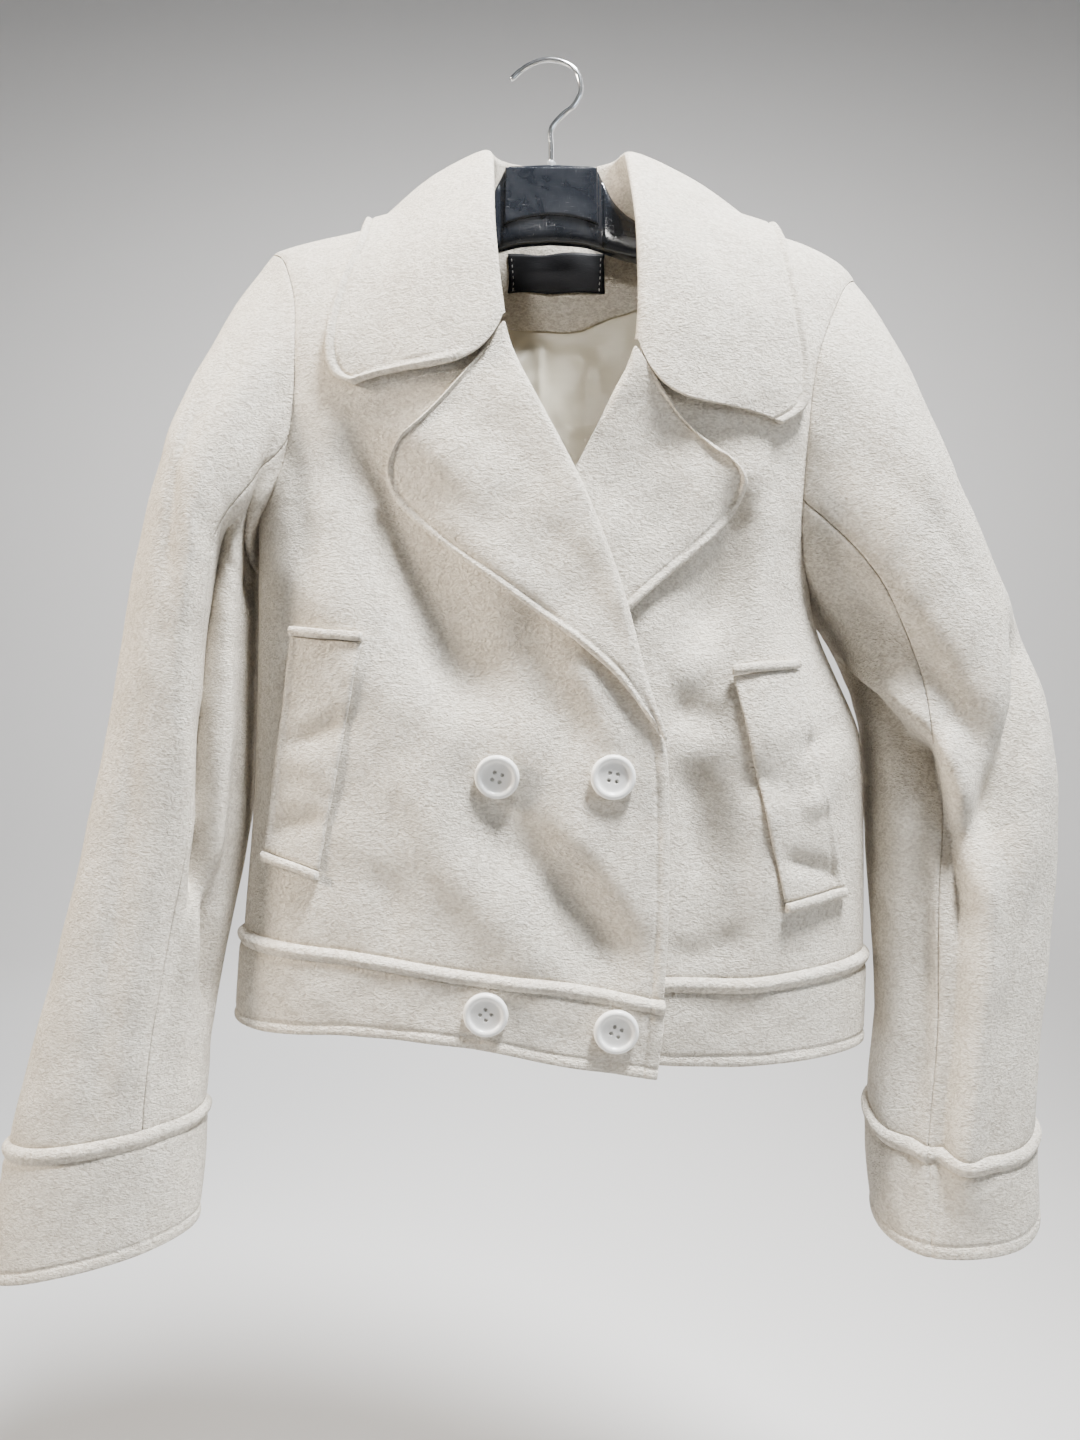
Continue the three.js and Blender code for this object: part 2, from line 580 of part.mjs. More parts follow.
// Point and normal of a surface whose two parameters run from 0 to 1
function frameAt(surface, u, v) {
  const step = 1e-4;
  const du = u + step > 1 ? -step : step;
  const dv = v + step > 1 ? -step : step;
  const point = surface(u, v);
  const alongU = surface(u + du, v).sub(point).multiplyScalar(Math.sign(du));
  const alongV = surface(u, v + dv).sub(point).multiplyScalar(Math.sign(dv));
  return { point, normal: alongU.cross(alongV).normalize() };
}

// The same surface moved out of its cloth by a lift that may vary over it
function raised(surface, lift) {
  return (u, v) => {
    const { point, normal } = frameAt(surface, u, v);
    return point.addScaledVector(normal, lift(u, v));
  };
}

// Hem bands: double cloth below the seam, with a proud rolled upper edge
const BAND_LIFT = 1.3;
const BAND_RIDGE = 1.5;
const BAND_ROWS = [0, 0.05, 0.13, 0.24, 0.6, 1];
const bandLift = (v) => BAND_LIFT + BAND_RIDGE * Math.exp(-(((v - 0.05) / 0.08) ** 2));

function frontBand(side, edgeTable, hemTable, inward) {
  const edgeX = column(edgeTable, 'z', 'x');
  const seamZ = column(hemTable, 'x', 'seam');
  const hemZ = column(hemTable, 'x', 'hem');
  const sideX = side.out < 0 ? torsoLeft : torsoRight;
  const flat = (u, v) => {
    const level = mix(seamZ(0), hemZ(0), v);
    const x = mix(edgeX(level), sideX(level), u);
    const z = mix(seamZ(x) - SEAM, hemZ(x), v);
    const away = (1 - across(x, z)) * -SEAM;
    return new THREE.Vector3(x, frontY(x, z) + inward(x, z) + away - SEAM / 2, z);
  };
  return raised(flat, (u, v) => -side.out * bandLift(v));
}
add('hem_band_front_right', wall(frontBand(RIGHT, EDGE_RIGHT, HEM, () => 0),
  bunchEnd(11), BAND_ROWS, BAND), WOOL);
add('hem_band_front_left', wall(frontBand(LEFT, EDGE_LEFT, HEM_LEFT, lapDepth),
  bunchEnd(11), BAND_ROWS, BAND), WOOL);

const sideSeamRight = HEM[0];
const sideSeamLeft = HEM_LEFT[HEM_LEFT.length - 1];
function backBand(u, v) {
  const rz = mix(sideSeamRight.seam - SEAM, sideSeamRight.hem, v);
  const lz = mix(sideSeamLeft.seam - SEAM, sideSeamLeft.hem, v);
  const x = mix(torsoLeft(rz), torsoRight(lz), u);
  const z = mix(rz, lz, u);
  return new THREE.Vector3(x, backY(x, z) + SEAM / 2, z);
}
add('hem_band_back', wall(raised(backBand, (u, v) => bandLift(v)),
  bunchBoth(18), BAND_ROWS, BAND), WOOL);

// Sleeves: rings from the armhole to the hand. The angle is 0 at the outer side, 90 at the
// front and 180 at the underarm. The first ring is the armhole itself.
const radians = (degrees) => (degrees * Math.PI) / 180;
const RING_POWER = 0.92;
const ARMHOLE_BLEND = 3.2;
const ARMHOLE_GAP = 1.0;
const PIT_GAP = 2.5;
const PIT_ANGLE = 60;

function sleeve(table, armhole, side, creases) {
  const at = {};
  for (const name of ['ix', 'iz', 'ox', 'oz', 'y', 'half', 'drop']) at[name] = column(table, 'k', name);
  const frontX = column(armhole, 'z', 'front');
  const backX = column(armhole, 'z', 'back');
  const rounded = (c) => Math.sign(c) * Math.abs(c) ** RING_POWER;
  const centre = (k) =>
    new THREE.Vector3((at.ix(k) + at.ox(k)) / 2, at.y(k), (at.iz(k) + at.oz(k)) / 2);
  const ring = (a, k) => {
    const outward = (1 + rounded(Math.cos(radians(a)))) / 2;
    const forward = at.half(k) * rounded(Math.sin(radians(a)));
    const z = mix(at.iz(k), at.oz(k), outward) - at.drop(k) * forward;
    return new THREE.Vector3(mix(at.ix(k), at.ox(k), outward), at.y(k) - forward, z);
  };
  const armholePoint = (a) => {
    const z = mix(side.tipZ, side.pitZ, (1 - Math.cos(radians(a))) / 2);
    const isFront = Math.sin(radians(a)) >= 0;
    const x = isFront ? frontX(z) : backX(z);
    const fromPit = ((((a % 360) + 360) % 360) - 180) / PIT_ANGLE;
    const gap = ARMHOLE_GAP + PIT_GAP * Math.exp(-fromPit * fromPit);
    return new THREE.Vector3(x + side.out * gap, isFront ? frontY(x, z) : backY(x, z), z);
  };
  return (a, k) => {
    const p = ring(a, k);
    const fade = 1 - ease(k / ARMHOLE_BLEND);
    if (fade > 0) p.add(armholePoint(a).sub(ring(a, 0)).multiplyScalar(fade));
    let inward = 0;
    for (const c of creases) {
      const q = (k - c.k0) / (c.k1 - c.k0);
      const line = mix(c.a0, c.a1, clamp01(q));
      const turn = ((((a - line + 180) % 360) + 360) % 360) - 180;
      const ends = ease((q + 0.25) / 0.35) * ease((1.25 - q) / 0.35);
      inward += c.depth * ends * Math.exp(-((turn / c.width) ** 2));
    }
    const toCentre = centre(k).sub(p).normalize();
    return p.addScaledVector(toCentre, inward * (1 - fade));
  };
}

const TOP_ANGLE = 120;
const SEAM_ANGLE = 0.16;
const SLEEVE_ROWS = even(14, 0, CUFF_AT - 0.006);
const CUFF_ROWS = [0.004, 0.05, 0.13, 0.25, 0.6, 1].map((q) => CUFF_AT + q);
const CUFF_LIFT = 1.4;
const CUFF_RIDGE = 1.6;
for (const [name, table, armhole, side, creases] of [
  ['right', SLEEVE_RIGHT, ARMHOLE_RIGHT, RIGHT, CREASES_RIGHT],
  ['left', SLEEVE_LEFT, ARMHOLE_LEFT, LEFT, CREASES_LEFT],
]) {
  const tube = sleeve(table, armhole, side, creases);
  const top = even(16, -TOP_ANGLE + SEAM_ANGLE, TOP_ANGLE - SEAM_ANGLE);
  const under = even(8, TOP_ANGLE + SEAM_ANGLE, 360 - TOP_ANGLE - SEAM_ANGLE);
  add(`top_sleeve_${name}`, wall(tube, top, SLEEVE_ROWS, CLOTH), WOOL);
  add(`under_sleeve_${name}`, wall(tube, under, SLEEVE_ROWS, CLOTH), WOOL);
  const hand = table[table.length - 1];
  const cuff = (a, k) => {
    const p = tube(a, k);
    const middle = new THREE.Vector3((hand.ix + hand.ox) / 2, p.y * 0.5 + hand.y * 0.5, p.z);
    const ridge = CUFF_RIDGE * Math.exp(-(((k - CUFF_AT - 0.05) / 0.08) ** 2));
    return p.addScaledVector(p.clone().sub(middle).normalize(), CUFF_LIFT + ridge);
  };
  add(`cuff_${name}`, wall(cuff, even(24, 0, 360).slice(0, 24), CUFF_ROWS, BAND, true), WOOL);
}

// Collar: a smooth section from the neck seam over the crest and down to the outer edge,
// kept clear of the body that it lies on
const edgeRightX = column(EDGE_RIGHT, 'z', 'x');
const edgeLeftX = column(EDGE_LEFT, 'z', 'x');
const COLLAR_SEAM_GAP = 2.9;
const COLLAR_BULGE = 6;
const CREST_AT = 1 / 3;
const DIP_SCALE = 6.75;
const COLLAR_ROWS = [0, 0.17, 0.27, CREST_AT, 0.4, 0.48, 0.58, 0.7, 0.85, 1];
function collarSeam(row) {
  if (row.on === 'back') {
    const z = neckBackZ(row.seam);
    return [row.seam, backY(row.seam, z), z + 5 * SEAM];
  }
  const onRight = row.on === 'right';
  const x = onRight ? edgeRightX(row.seam) : edgeLeftX(row.seam);
  return [x + (onRight ? COLLAR_SEAM_GAP : -COLLAR_SEAM_GAP), frontY(x, row.seam), row.seam];
}
const collarRows = COLLAR.map((row) => {
  const [sx, sy, sz] = collarSeam(row);
  const [cx, cy, cz] = row.crest;
  const [ex, ey, ez] = row.edge;
  return { s: row.s, sx, sy, sz, cx, cy, cz, ex, ey, ez, dip: row.dip };
});
const collarAt = {};
for (const name of ['sx', 'sy', 'sz', 'cx', 'cy', 'cz', 'ex', 'ey', 'ez', 'dip']) {
  collarAt[name] = column(collarRows, 's', name);
}
const collarPoint = (letter, s) => new THREE.Vector3(
  collarAt[`${letter}x`](s), collarAt[`${letter}y`](s), collarAt[`${letter}z`](s));

// Move a point out of the body where it is nearer than a clearance
function clearOfBody(p, gap) {
  const z = p.z - gap;
  if (z >= shoulderZ(p.x)) return p;
  if (p.y < RIDGE_Y) p.y = Math.min(p.y, frontY(p.x, z) - gap);
  else p.y = Math.max(p.y, backY(p.x, z) + gap);
  return p;
}

const lastStation = COLLAR.length - 1;
function collar(u, v) {
  const s = u * lastStation;
  const seam = collarPoint('s', s);
  const crest = collarPoint('c', s);
  const edge = collarPoint('e', s);
  const fall = edge.clone().sub(crest);
  const stand = crest.clone().sub(seam);
  const outward = stand.clone().addScaledVector(fall, -stand.dot(fall) / fall.lengthSq()).normalize();
  const middle = crest.clone().addScaledVector(fall, 0.4).addScaledVector(outward, COLLAR_BULGE);
  const section = new THREE.CatmullRomCurve3([seam, crest, middle, edge]);
  const p = section.getPoint(v);
  const q = clamp01((v - CREST_AT) / (1 - CREST_AT));
  p.z -= collarAt.dip(s) * DIP_SCALE * q * (1 - q) ** 2;
  return v > 0.45 ? clearOfBody(p, COLLAR_CLEAR) : p;
}
add('collar', wall(collar, even(COLLAR_CELLS), COLLAR_ROWS, COLLAR_CLOTH), WOOL);

// Lapels: folded out at the roll line, with a soft nose round the edge of the front
const LAPEL_COLUMNS = [0, 0.02, 0.04, 0.06, 0.11, 0.2, 0.35, 0.5, 0.65, 0.8, 0.92, 1];
const NOSE = 0.06;
const NOSE_REACH = 3.2;
const LEAST_FOLD = 0.08;
const LAPEL_LIFT = 3.7;
const LAPEL_BULGE = 3;
function lapel(table, open, gorgeZ, bulge, inward) {
  const at = {};
  for (const name of ['ix', 'iz', 'ox', 'oz', 'sag']) at[name] = column(table, 'k', name);
  const lastRow = table.length - 1;
  return (u, v) => {
    const k = v * lastRow;
    const fold = Math.max(foldShare(at.iz(k), gorgeZ), LEAST_FOLD);
    const turn = (clamp01(u / NOSE) * Math.PI) / 2;
    const past = clamp01((u - NOSE) / (1 - NOSE));
    const ix = at.ix(k) - open * FOLD_ROOM * fold + open * NOSE_REACH * fold * Math.cos(turn);
    const x = mix(ix, at.ox(k), past);
    const z = mix(at.iz(k), at.oz(k), past) - at.sag(k) * 4 * past * (1 - past);
    const width = Math.hypot(at.ix(k) - at.ox(k), at.iz(k) - at.oz(k));
    const roll = bulge(k) * Math.exp(-((past / 0.2) ** 2)) * clamp01(width / 60);
    const out = (LAPEL_LIFT + roll) * (1 - fold * (1 - Math.sin(turn)));
    return new THREE.Vector3(x, frontY(x, z) + inward(x, z) - out, z);
  };
}
const LAPEL_ROWS = even(10);
add('lapel_right', wall(lapel(LAPEL_RIGHT, 1, GORGE_RIGHT, () => LAPEL_BULGE, () => 0),
  LAPEL_COLUMNS, LAPEL_ROWS, LAPEL_CLOTH), WOOL);
const hiddenFade = (k) => LAPEL_BULGE * (1 - ease((k - 2) / 2));
add('lapel_left', wall(lapel(LAPEL_LEFT, -1, GORGE_LEFT, hiddenFade, lapDepth),
  LAPEL_COLUMNS, LAPEL_ROWS, UNDER_LAPEL_CLOTH), WOOL);

// Pocket welts: a strip of cloth on the front, with a bar across each end
function onFront(corners, lift) {
  const [a, b] = corners.top;
  const [c, d] = corners.bottom;
  const flat = (u, v) => {
    const x = mix(mix(a[0], b[0], u), mix(c[0], d[0], u), v);
    const z = mix(mix(a[1], b[1], u), mix(c[1], d[1], u), v);
    return new THREE.Vector3(x, frontY(x, z), z);
  };
  return raised(flat, () => -lift);
}
function below(edge, drop) {
  return edge.map(([x, z]) => [x, z - drop]);
}
for (const [name, pocket] of [['right', POCKET_RIGHT], ['left', POCKET_LEFT]]) {
  add(`pocket_welt_${name}`, wall(onFront(pocket, WELT_STAND), even(4), even(8), WELT_CLOTH), WOOL);
  const topBar = { top: below(pocket.top, -POCKET_BAR - SEAM), bottom: below(pocket.top, -SEAM) };
  const lowBar = { top: below(pocket.bottom, SEAM), bottom: below(pocket.bottom, POCKET_BAR + SEAM) };
  add(`pocket_bar_top_${name}`, wall(onFront(topBar, WELT_STAND + 0.6), even(4), even(2), BAND), WOOL);
  add(`pocket_bar_low_${name}`, wall(onFront(lowBar, WELT_STAND + 0.6), even(4), even(2), BAND), WOOL);
}

// Manifold solids, to cut the button holes and to join the hanger's raised panel
function toManifold(geometry) {
  const plain = geometry.clone();
  plain.deleteAttribute('normal');
  plain.deleteAttribute('uv');
  const merged = mergeVertices(plain, 1e-4);
  return new wasm.Manifold(new wasm.Mesh({
    numProp: 3,
    vertProperties: new Float32Array(merged.attributes.position.array),
    triVerts: new Uint32Array(merged.index.array),
  }));
}
function fromManifold(body) {
  const mesh = body.getMesh();
  const geometry = new THREE.BufferGeometry();
  geometry.setAttribute('position', new THREE.BufferAttribute(new Float32Array(mesh.vertProperties), 3));
  geometry.setIndex(new THREE.BufferAttribute(new Uint32Array(mesh.triVerts), 1));
  return geometry;
}

// Four-hole button with a raised rim, its axis along +Y of its own frame
function buttonShape() {
  const profile = [
    [0, 0], [0.9, 0], [1, 0.2], [1, 0.62], [0.94, 0.93], [0.85, 1], [0.76, 0.86], [0.7, 0.62], [0, 0.62],
  ].map(([r, h]) => new THREE.Vector2(r * BUTTON_RADIUS, h * BUTTON_HEIGHT));
  let body = toManifold(new THREE.LatheGeometry(profile, 22));
  for (const [sx, sz] of [[1, 1], [1, -1], [-1, 1], [-1, -1]]) {
    const hole = new THREE.CylinderGeometry(BUTTON_HOLE_RADIUS, BUTTON_HOLE_RADIUS, 3 * BUTTON_HEIGHT, 6);
    hole.translate(sx * BUTTON_HOLE_SPREAD, 0, sz * BUTTON_HOLE_SPREAD);
    body = body.subtract(toManifold(hole));
  }
  return fromManifold(body);
}
const buttonGeometry = buttonShape();
for (const { name, x, z, onBand } of BUTTONS) {
  const d = BUTTON_HOLE_SPREAD;
  const slopeX = (frontY(x + d, z) - frontY(x - d, z)) / (2 * d);
  const slopeZ = (frontY(x, z + d) - frontY(x, z - d)) / (2 * d);
  const outward = new THREE.Vector3(slopeX, -1, slopeZ).normalize();
  const cloth = onBand ? BAND_LIFT + BAND / 2 : CLOTH / 2;
  const button = add(name, buttonGeometry.clone(), BUTTON);
  button.position.set(x, frontY(x, z), z).addScaledVector(outward, cloth + BUTTON_CLEAR);
  button.quaternion.setFromUnitVectors(new THREE.Vector3(0, 1, 0), outward);
}

// Inside the neck: facing of the back, satin lining below it, and the woven label
const FACING_EDGE = [
  { x: -52, z: -150 },
  { x: -27, z: -161 },
  { x: -4, z: -164 },
  { x: 12, z: -163.5 },
  { x: 32, z: -160 },
  { x: 64, z: -148 },
];
const facingZ = column(FACING_EDGE, 'x', 'z');
const FACING_CLOTH = 1.6;
const LINING_CLOTH = 1.2;
const facingRightX = FACING_EDGE[0].x;
const facingLeftX = FACING_EDGE[FACING_EDGE.length - 1].x;
const LINED_GAP = 1.8;
const facingGap = (v) => mix(LINED_GAP + 1.5 * SEAM, 2 * LINED_GAP, ease(v / 0.5));
const facingInset = (v) => CLOTH / 2 + FACING_CLOTH / 2 + facingGap(v);
const FACING_DROP = 1.5;
function facing(u, v) {
  const x = mix(facingRightX, facingLeftX, u);
  const z = mix(neckBackZ(x) - FACING_DROP, facingZ(x), v);
  return new THREE.Vector3(x, backY(x, z), z);
}
const facingInside = raised(facing, (u, v) => -facingInset(v));
add('back_neck_facing', wall(facingInside, even(12), even(6), FACING_CLOTH), WOOL);

const LINING_SIDE = 128;
const LINING_HEM = -536;
const LINING_LAP = 4;
const PLEAT = { x: -4, width: 5, depth: 3, top: -175, bottom: -330 };
const liningInset = CLOTH / 2 + LINED_GAP + LINING_CLOTH / 2;
function lining(u, v) {
  const x = mix(-LINING_SIDE, LINING_SIDE, u);
  const z = mix(facingZ(x) + LINING_LAP, LINING_HEM, v);
  const fade = ease((PLEAT.top - z) / 20) * ease((z - PLEAT.bottom) / 60);
  const pleat = PLEAT.depth * fade * Math.exp(-(((x - PLEAT.x) / PLEAT.width) ** 2));
  return new THREE.Vector3(x, backY(x, z) - liningInset - pleat, z);
}
const pleatAt = (PLEAT.x + LINING_SIDE) / (2 * LINING_SIDE);
const LINING_COLUMNS = [0, 0.15, 0.3, 0.42, pleatAt - 0.03, pleatAt, pleatAt + 0.03, 0.6, 0.75, 0.87, 1];
add('lining_back', wall(lining, LINING_COLUMNS, even(9), LINING_CLOTH), SATIN);

const LABEL_BOX = { x0: -26, x1: 37, top: -114, bottom: -140.5, cloth: 1.0 };
function label(u, v) {
  const x = mix(LABEL_BOX.x0, LABEL_BOX.x1, u);
  const z = mix(LABEL_BOX.top, LABEL_BOX.bottom, v);
  return new THREE.Vector3(x, backY(x, z), z);
}
function labelLift(u, v) {
  const z = mix(LABEL_BOX.top, LABEL_BOX.bottom, v);
  const top = neckBackZ(0) - FACING_DROP;
  const down = (z - top) / (facingZ(0) - top);
  return -(facingInset(down) + FACING_CLOTH / 2 + 2 * SEAM + LABEL_BOX.cloth / 2);
}
add('neck_label', wall(raised(label, labelLift), even(6), even(3), LABEL_BOX.cloth), LABEL);

// Hanger body: rounded sections along both arms, with a raised panel at the middle
const hangerTop = column(HANGER, 'x', 'top');
const hangerBottom = column(HANGER, 'x', 'bottom');
const hangerHalf = column(HANGER, 'x', 'half');
const HANGER_STATIONS = [0, 12, 20, 28, 33, 39, 47, 56, 80, 110, 140, 156];
function hangerBody() {
  const sides = 12;
  const stations = [...HANGER_STATIONS.slice(1).reverse().map((x) => -x), ...HANGER_STATIONS];
  const points = [];
  const faces = [];
  for (const x of stations) {
    const reach = Math.abs(x);
    const top = hangerTop(reach);
    const bottom = hangerBottom(reach);
    const half = hangerHalf(reach);
    const high = (top - bottom) / 2;
    for (let i = 0; i < sides; i += 1) {
      const a = (2 * Math.PI * (i + 0.5)) / sides;
      const soft = (c) => Math.sign(c) * Math.abs(c) ** 0.55;
      points.push([HANGER_X + x, HANGER_Y + half * soft(Math.cos(a)),
        (top + bottom) / 2 + high * soft(Math.sin(a))]);
    }
  }
  for (let j = 0; j < stations.length - 1; j += 1) {
    for (let i = 0; i < sides; i += 1) {
      const a = j * sides + i;
      const b = j * sides + ((i + 1) % sides);
      faces.push([a, b, b + sides], [a, b + sides, a + sides]);
    }
  }
  const lastRing = (stations.length - 1) * sides;
  for (let i = 1; i < sides - 1; i += 1) {
    faces.push([0, i + 1, i], [lastRing, lastRing + i, lastRing + i + 1]);
  }
  const { half, top, bottom, arch, depth, proud } = HANGER_PANEL;
  const shape = new THREE.Shape();
  shape.moveTo(-half, top);
  shape.lineTo(half, top);
  shape.lineTo(half + 1, bottom);
  shape.quadraticCurveTo(0, arch, -half - 1, bottom);
  shape.closePath();
  const panel = new THREE.ExtrudeGeometry(shape, {
    depth, bevelEnabled: true, bevelThickness: 1, bevelSize: 1, bevelSegments: 1, curveSegments: 8,
  });
  panel.rotateX(Math.PI / 2);
  panel.translate(HANGER_X, HANGER_Y - proud, 0);
  return fromManifold(toManifold(solid(points, faces)).add(toManifold(panel)));
}
add('hanger_body', hangerBody(), PLASTIC);

// Metal collar and bent wire hook
const ferruleProfile = [
  [0, 0], [FERRULE.radius, 0], [FERRULE.radius, 0.72 * FERRULE.height],
  [FERRULE.neck, FERRULE.height], [0, FERRULE.height],
].map(([r, h]) => new THREE.Vector2(r, h));
const ferrule = add('hanger_ferrule', new THREE.LatheGeometry(ferruleProfile, 14), STEEL);
ferrule.rotation.x = Math.PI / 2;
ferrule.position.set(HANGER_X, 0, HANGER[0].top + SEAM);

const hookPath = new THREE.CatmullRomCurve3(HOOK_PATH.map(([x, z]) => new THREE.Vector3(x, 0, z)));
const hookSection = new THREE.Shape();
hookSection.absarc(0, 0, HOOK_RADIUS, 0, 2 * Math.PI);
add('hanger_hook', new THREE.ExtrudeGeometry(hookSection, {
  steps: 40, extrudePath: hookPath, curveSegments: 5,
}), STEEL);

export default garment;
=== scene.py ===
import math

import bpy
import numpy as np
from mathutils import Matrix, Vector


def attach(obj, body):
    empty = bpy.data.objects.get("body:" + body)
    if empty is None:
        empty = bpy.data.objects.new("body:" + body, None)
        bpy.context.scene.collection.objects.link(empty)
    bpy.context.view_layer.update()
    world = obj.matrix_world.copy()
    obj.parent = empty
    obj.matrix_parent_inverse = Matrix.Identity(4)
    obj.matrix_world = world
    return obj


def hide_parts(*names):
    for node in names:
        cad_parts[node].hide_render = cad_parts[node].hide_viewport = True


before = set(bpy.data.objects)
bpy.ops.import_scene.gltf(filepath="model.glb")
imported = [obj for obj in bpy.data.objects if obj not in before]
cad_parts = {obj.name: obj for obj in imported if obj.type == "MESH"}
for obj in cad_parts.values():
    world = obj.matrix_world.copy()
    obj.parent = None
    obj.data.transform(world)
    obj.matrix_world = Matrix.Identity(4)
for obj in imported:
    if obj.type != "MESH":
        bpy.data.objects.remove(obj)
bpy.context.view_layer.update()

# Front panels. Two fronts of brushed wool cloth, cut from the shoulder to the hem band; the
# right one laps over the left one. Lengths in this file are millimetres, seen in the frame's
# own axes, and a mesh turns them into metres as it is made.
MM = 0.001
CLOTH = 2.0
SEAM = 0.3
SIDE_Y, RIDGE_Y, BACK_Y = -35, -2, 27


def table(names, *rows):
    """A table with named columns, each an array."""
    return dict(zip(names.split(), np.array(rows, float).T))


def column(rows, key, name):
    """Cubic through one column of a table; each row's slope is that between its neighbours."""
    order = np.argsort(rows[key])
    k, f = rows[key][order], rows[name][order]
    slope = np.zeros_like(f)
    slope[1:-1] = (f[2:] - f[:-2]) / (k[2:] - k[:-2])
    slope[0], slope[-1] = (f[1] - f[0]) / (k[1] - k[0]), (f[-1] - f[-2]) / (k[-1] - k[-2])

    def at(where):
        """The cubic between the two rows beside a place; past the ends, the end row's value."""
        q = np.clip(where, k[0], k[-1])
        i = np.clip(np.searchsorted(k, q) - 1, 0, len(k) - 2)
        span = k[i + 1] - k[i]
        t, rise = (q - k[i]) / span, f[i + 1] - f[i]
        m0, m1 = slope[i] * span, slope[i + 1] * span
        return f[i] + m0 * t + (3 * rise - 2 * m0 - m1) * t**2 + (m0 + m1 - 2 * rise) * t**3

    return at


def columns(rows, key):
    """Every column of a table but its key, each a cubic through its rows."""
    return {name: column(rows, key, name) for name in rows if name != key}


def mix(a, b, q):
    """From a to b by a share."""
    return a + (b - a) * q


def clamp01(q):
    """A share kept between 0 and 1."""
    return np.clip(q, 0, 1)


def ease(q):
    """Soft step from 0 to 1."""
    return clamp01(q) ** 2 * (3 - 2 * clamp01(q))


def bump(q):
    """Bell curve, 1 at 0 and nearly nothing past 2."""
    return np.exp(-np.square(q))


TORSO = table(
    "z left right front",
    (-620, -186, 185, -106),
    (-557, -182, 187, -109),
    (-470, -175, 187, -111),
    (-432, -173.5, 185, -112),
    (-417, -173, 180, -112),
    (-395, -172.5, 170, -112),
    (-371, -172, 160, -112),
    (-345, -172, 155, -111),
    (-305, -172, 160, -110),
    (-260, -173, 172, -107),
    (-200, -175, 186, -100),
    (-146, -177, 197, -90),
    (-60, -178, 198, -66),
)
SHOULDER = table(
    "x z",
    (-174, -127.5), (-150, -122), (-114, -115), (-90, -108.5), (-58, -94), (-30, -73), (6, -62),
    (42, -73), (70, -94), (90, -102.5), (114, -109.5), (138, -117), (160, -124), (180, -134),
    (193, -146.5),
)
FRONT_REACH, BACK_REACH = 105, 45
FRONT_POWER, BACK_POWER = 2.6, 4
SIDE_FADE = 6

torso_left = column(TORSO, "z", "left")
torso_right = column(TORSO, "z", "right")
torso_front = column(TORSO, "z", "front")
shoulder_z = column(SHOULDER, "x", "z")

# Armholes: x of the seam on the front and on the back at each height
ARMHOLE_RIGHT = table(
    "z front back",
    (-127.5, -174, -174),
    (-140, -162, -166),
    (-157, -153.5, -160),
    (-177, -147, -156),
    (-202, -144, -153),
    (-239, -144, -153),
    (-263, -147.5, -157),
    (-287, -156, -163),
    (-305, -172, -172),
)
ARMHOLE_LEFT = table(
    "z front back",
    (-146.5, 193, 193),
    (-160, 179, 184),
    (-174, 170, 176),
    (-209, 154.5, 164),
    (-235, 149, 158),
    (-265, 146, 153),
    (-307, 144, 148),
    (-332, 147, 150),
    (-345, 155, 155),
)

# Inner edges of the fronts: neck seam, then roll line, then front edge
EDGE_RIGHT = table(
    "z x",
    (-94, -58), (-120, -50), (-150, -44), (-185, -34), (-203, -27), (-232, -15), (-256, -2),
    (-286, 13), (-310, 24), (-340, 35), (-366, 43), (-394, 50), (-421, 58), (-436, 63.5),
    (-507, 65), (-576, 62), (-618, 57),
)
EDGE_LEFT = table(
    "z x",
    (-94, 70), (-120, 62), (-150, 59), (-185, 55.5), (-219, 49), (-235, 39), (-264, 24.5),
    (-286, 13.5), (-330, -12), (-380, -36), (-432, -55), (-445, -56), (-565, -57), (-612, -58),
)
HEM = table(
    "x seam hem",
    (-186, -543, -596),
    (-160, -546, -597),
    (-104, -550, -594),
    (-42, -559, -599),
    (4, -564, -608),
    (62, -575, -617),
)
HEM_LEFT = table(
    "x seam hem",
    (-58, -563, -597),
    (0, -563, -603),
    (62, -564, -611),
    (108, -564, -611),
    (145, -561, -610),
    (187, -556, -609),
)

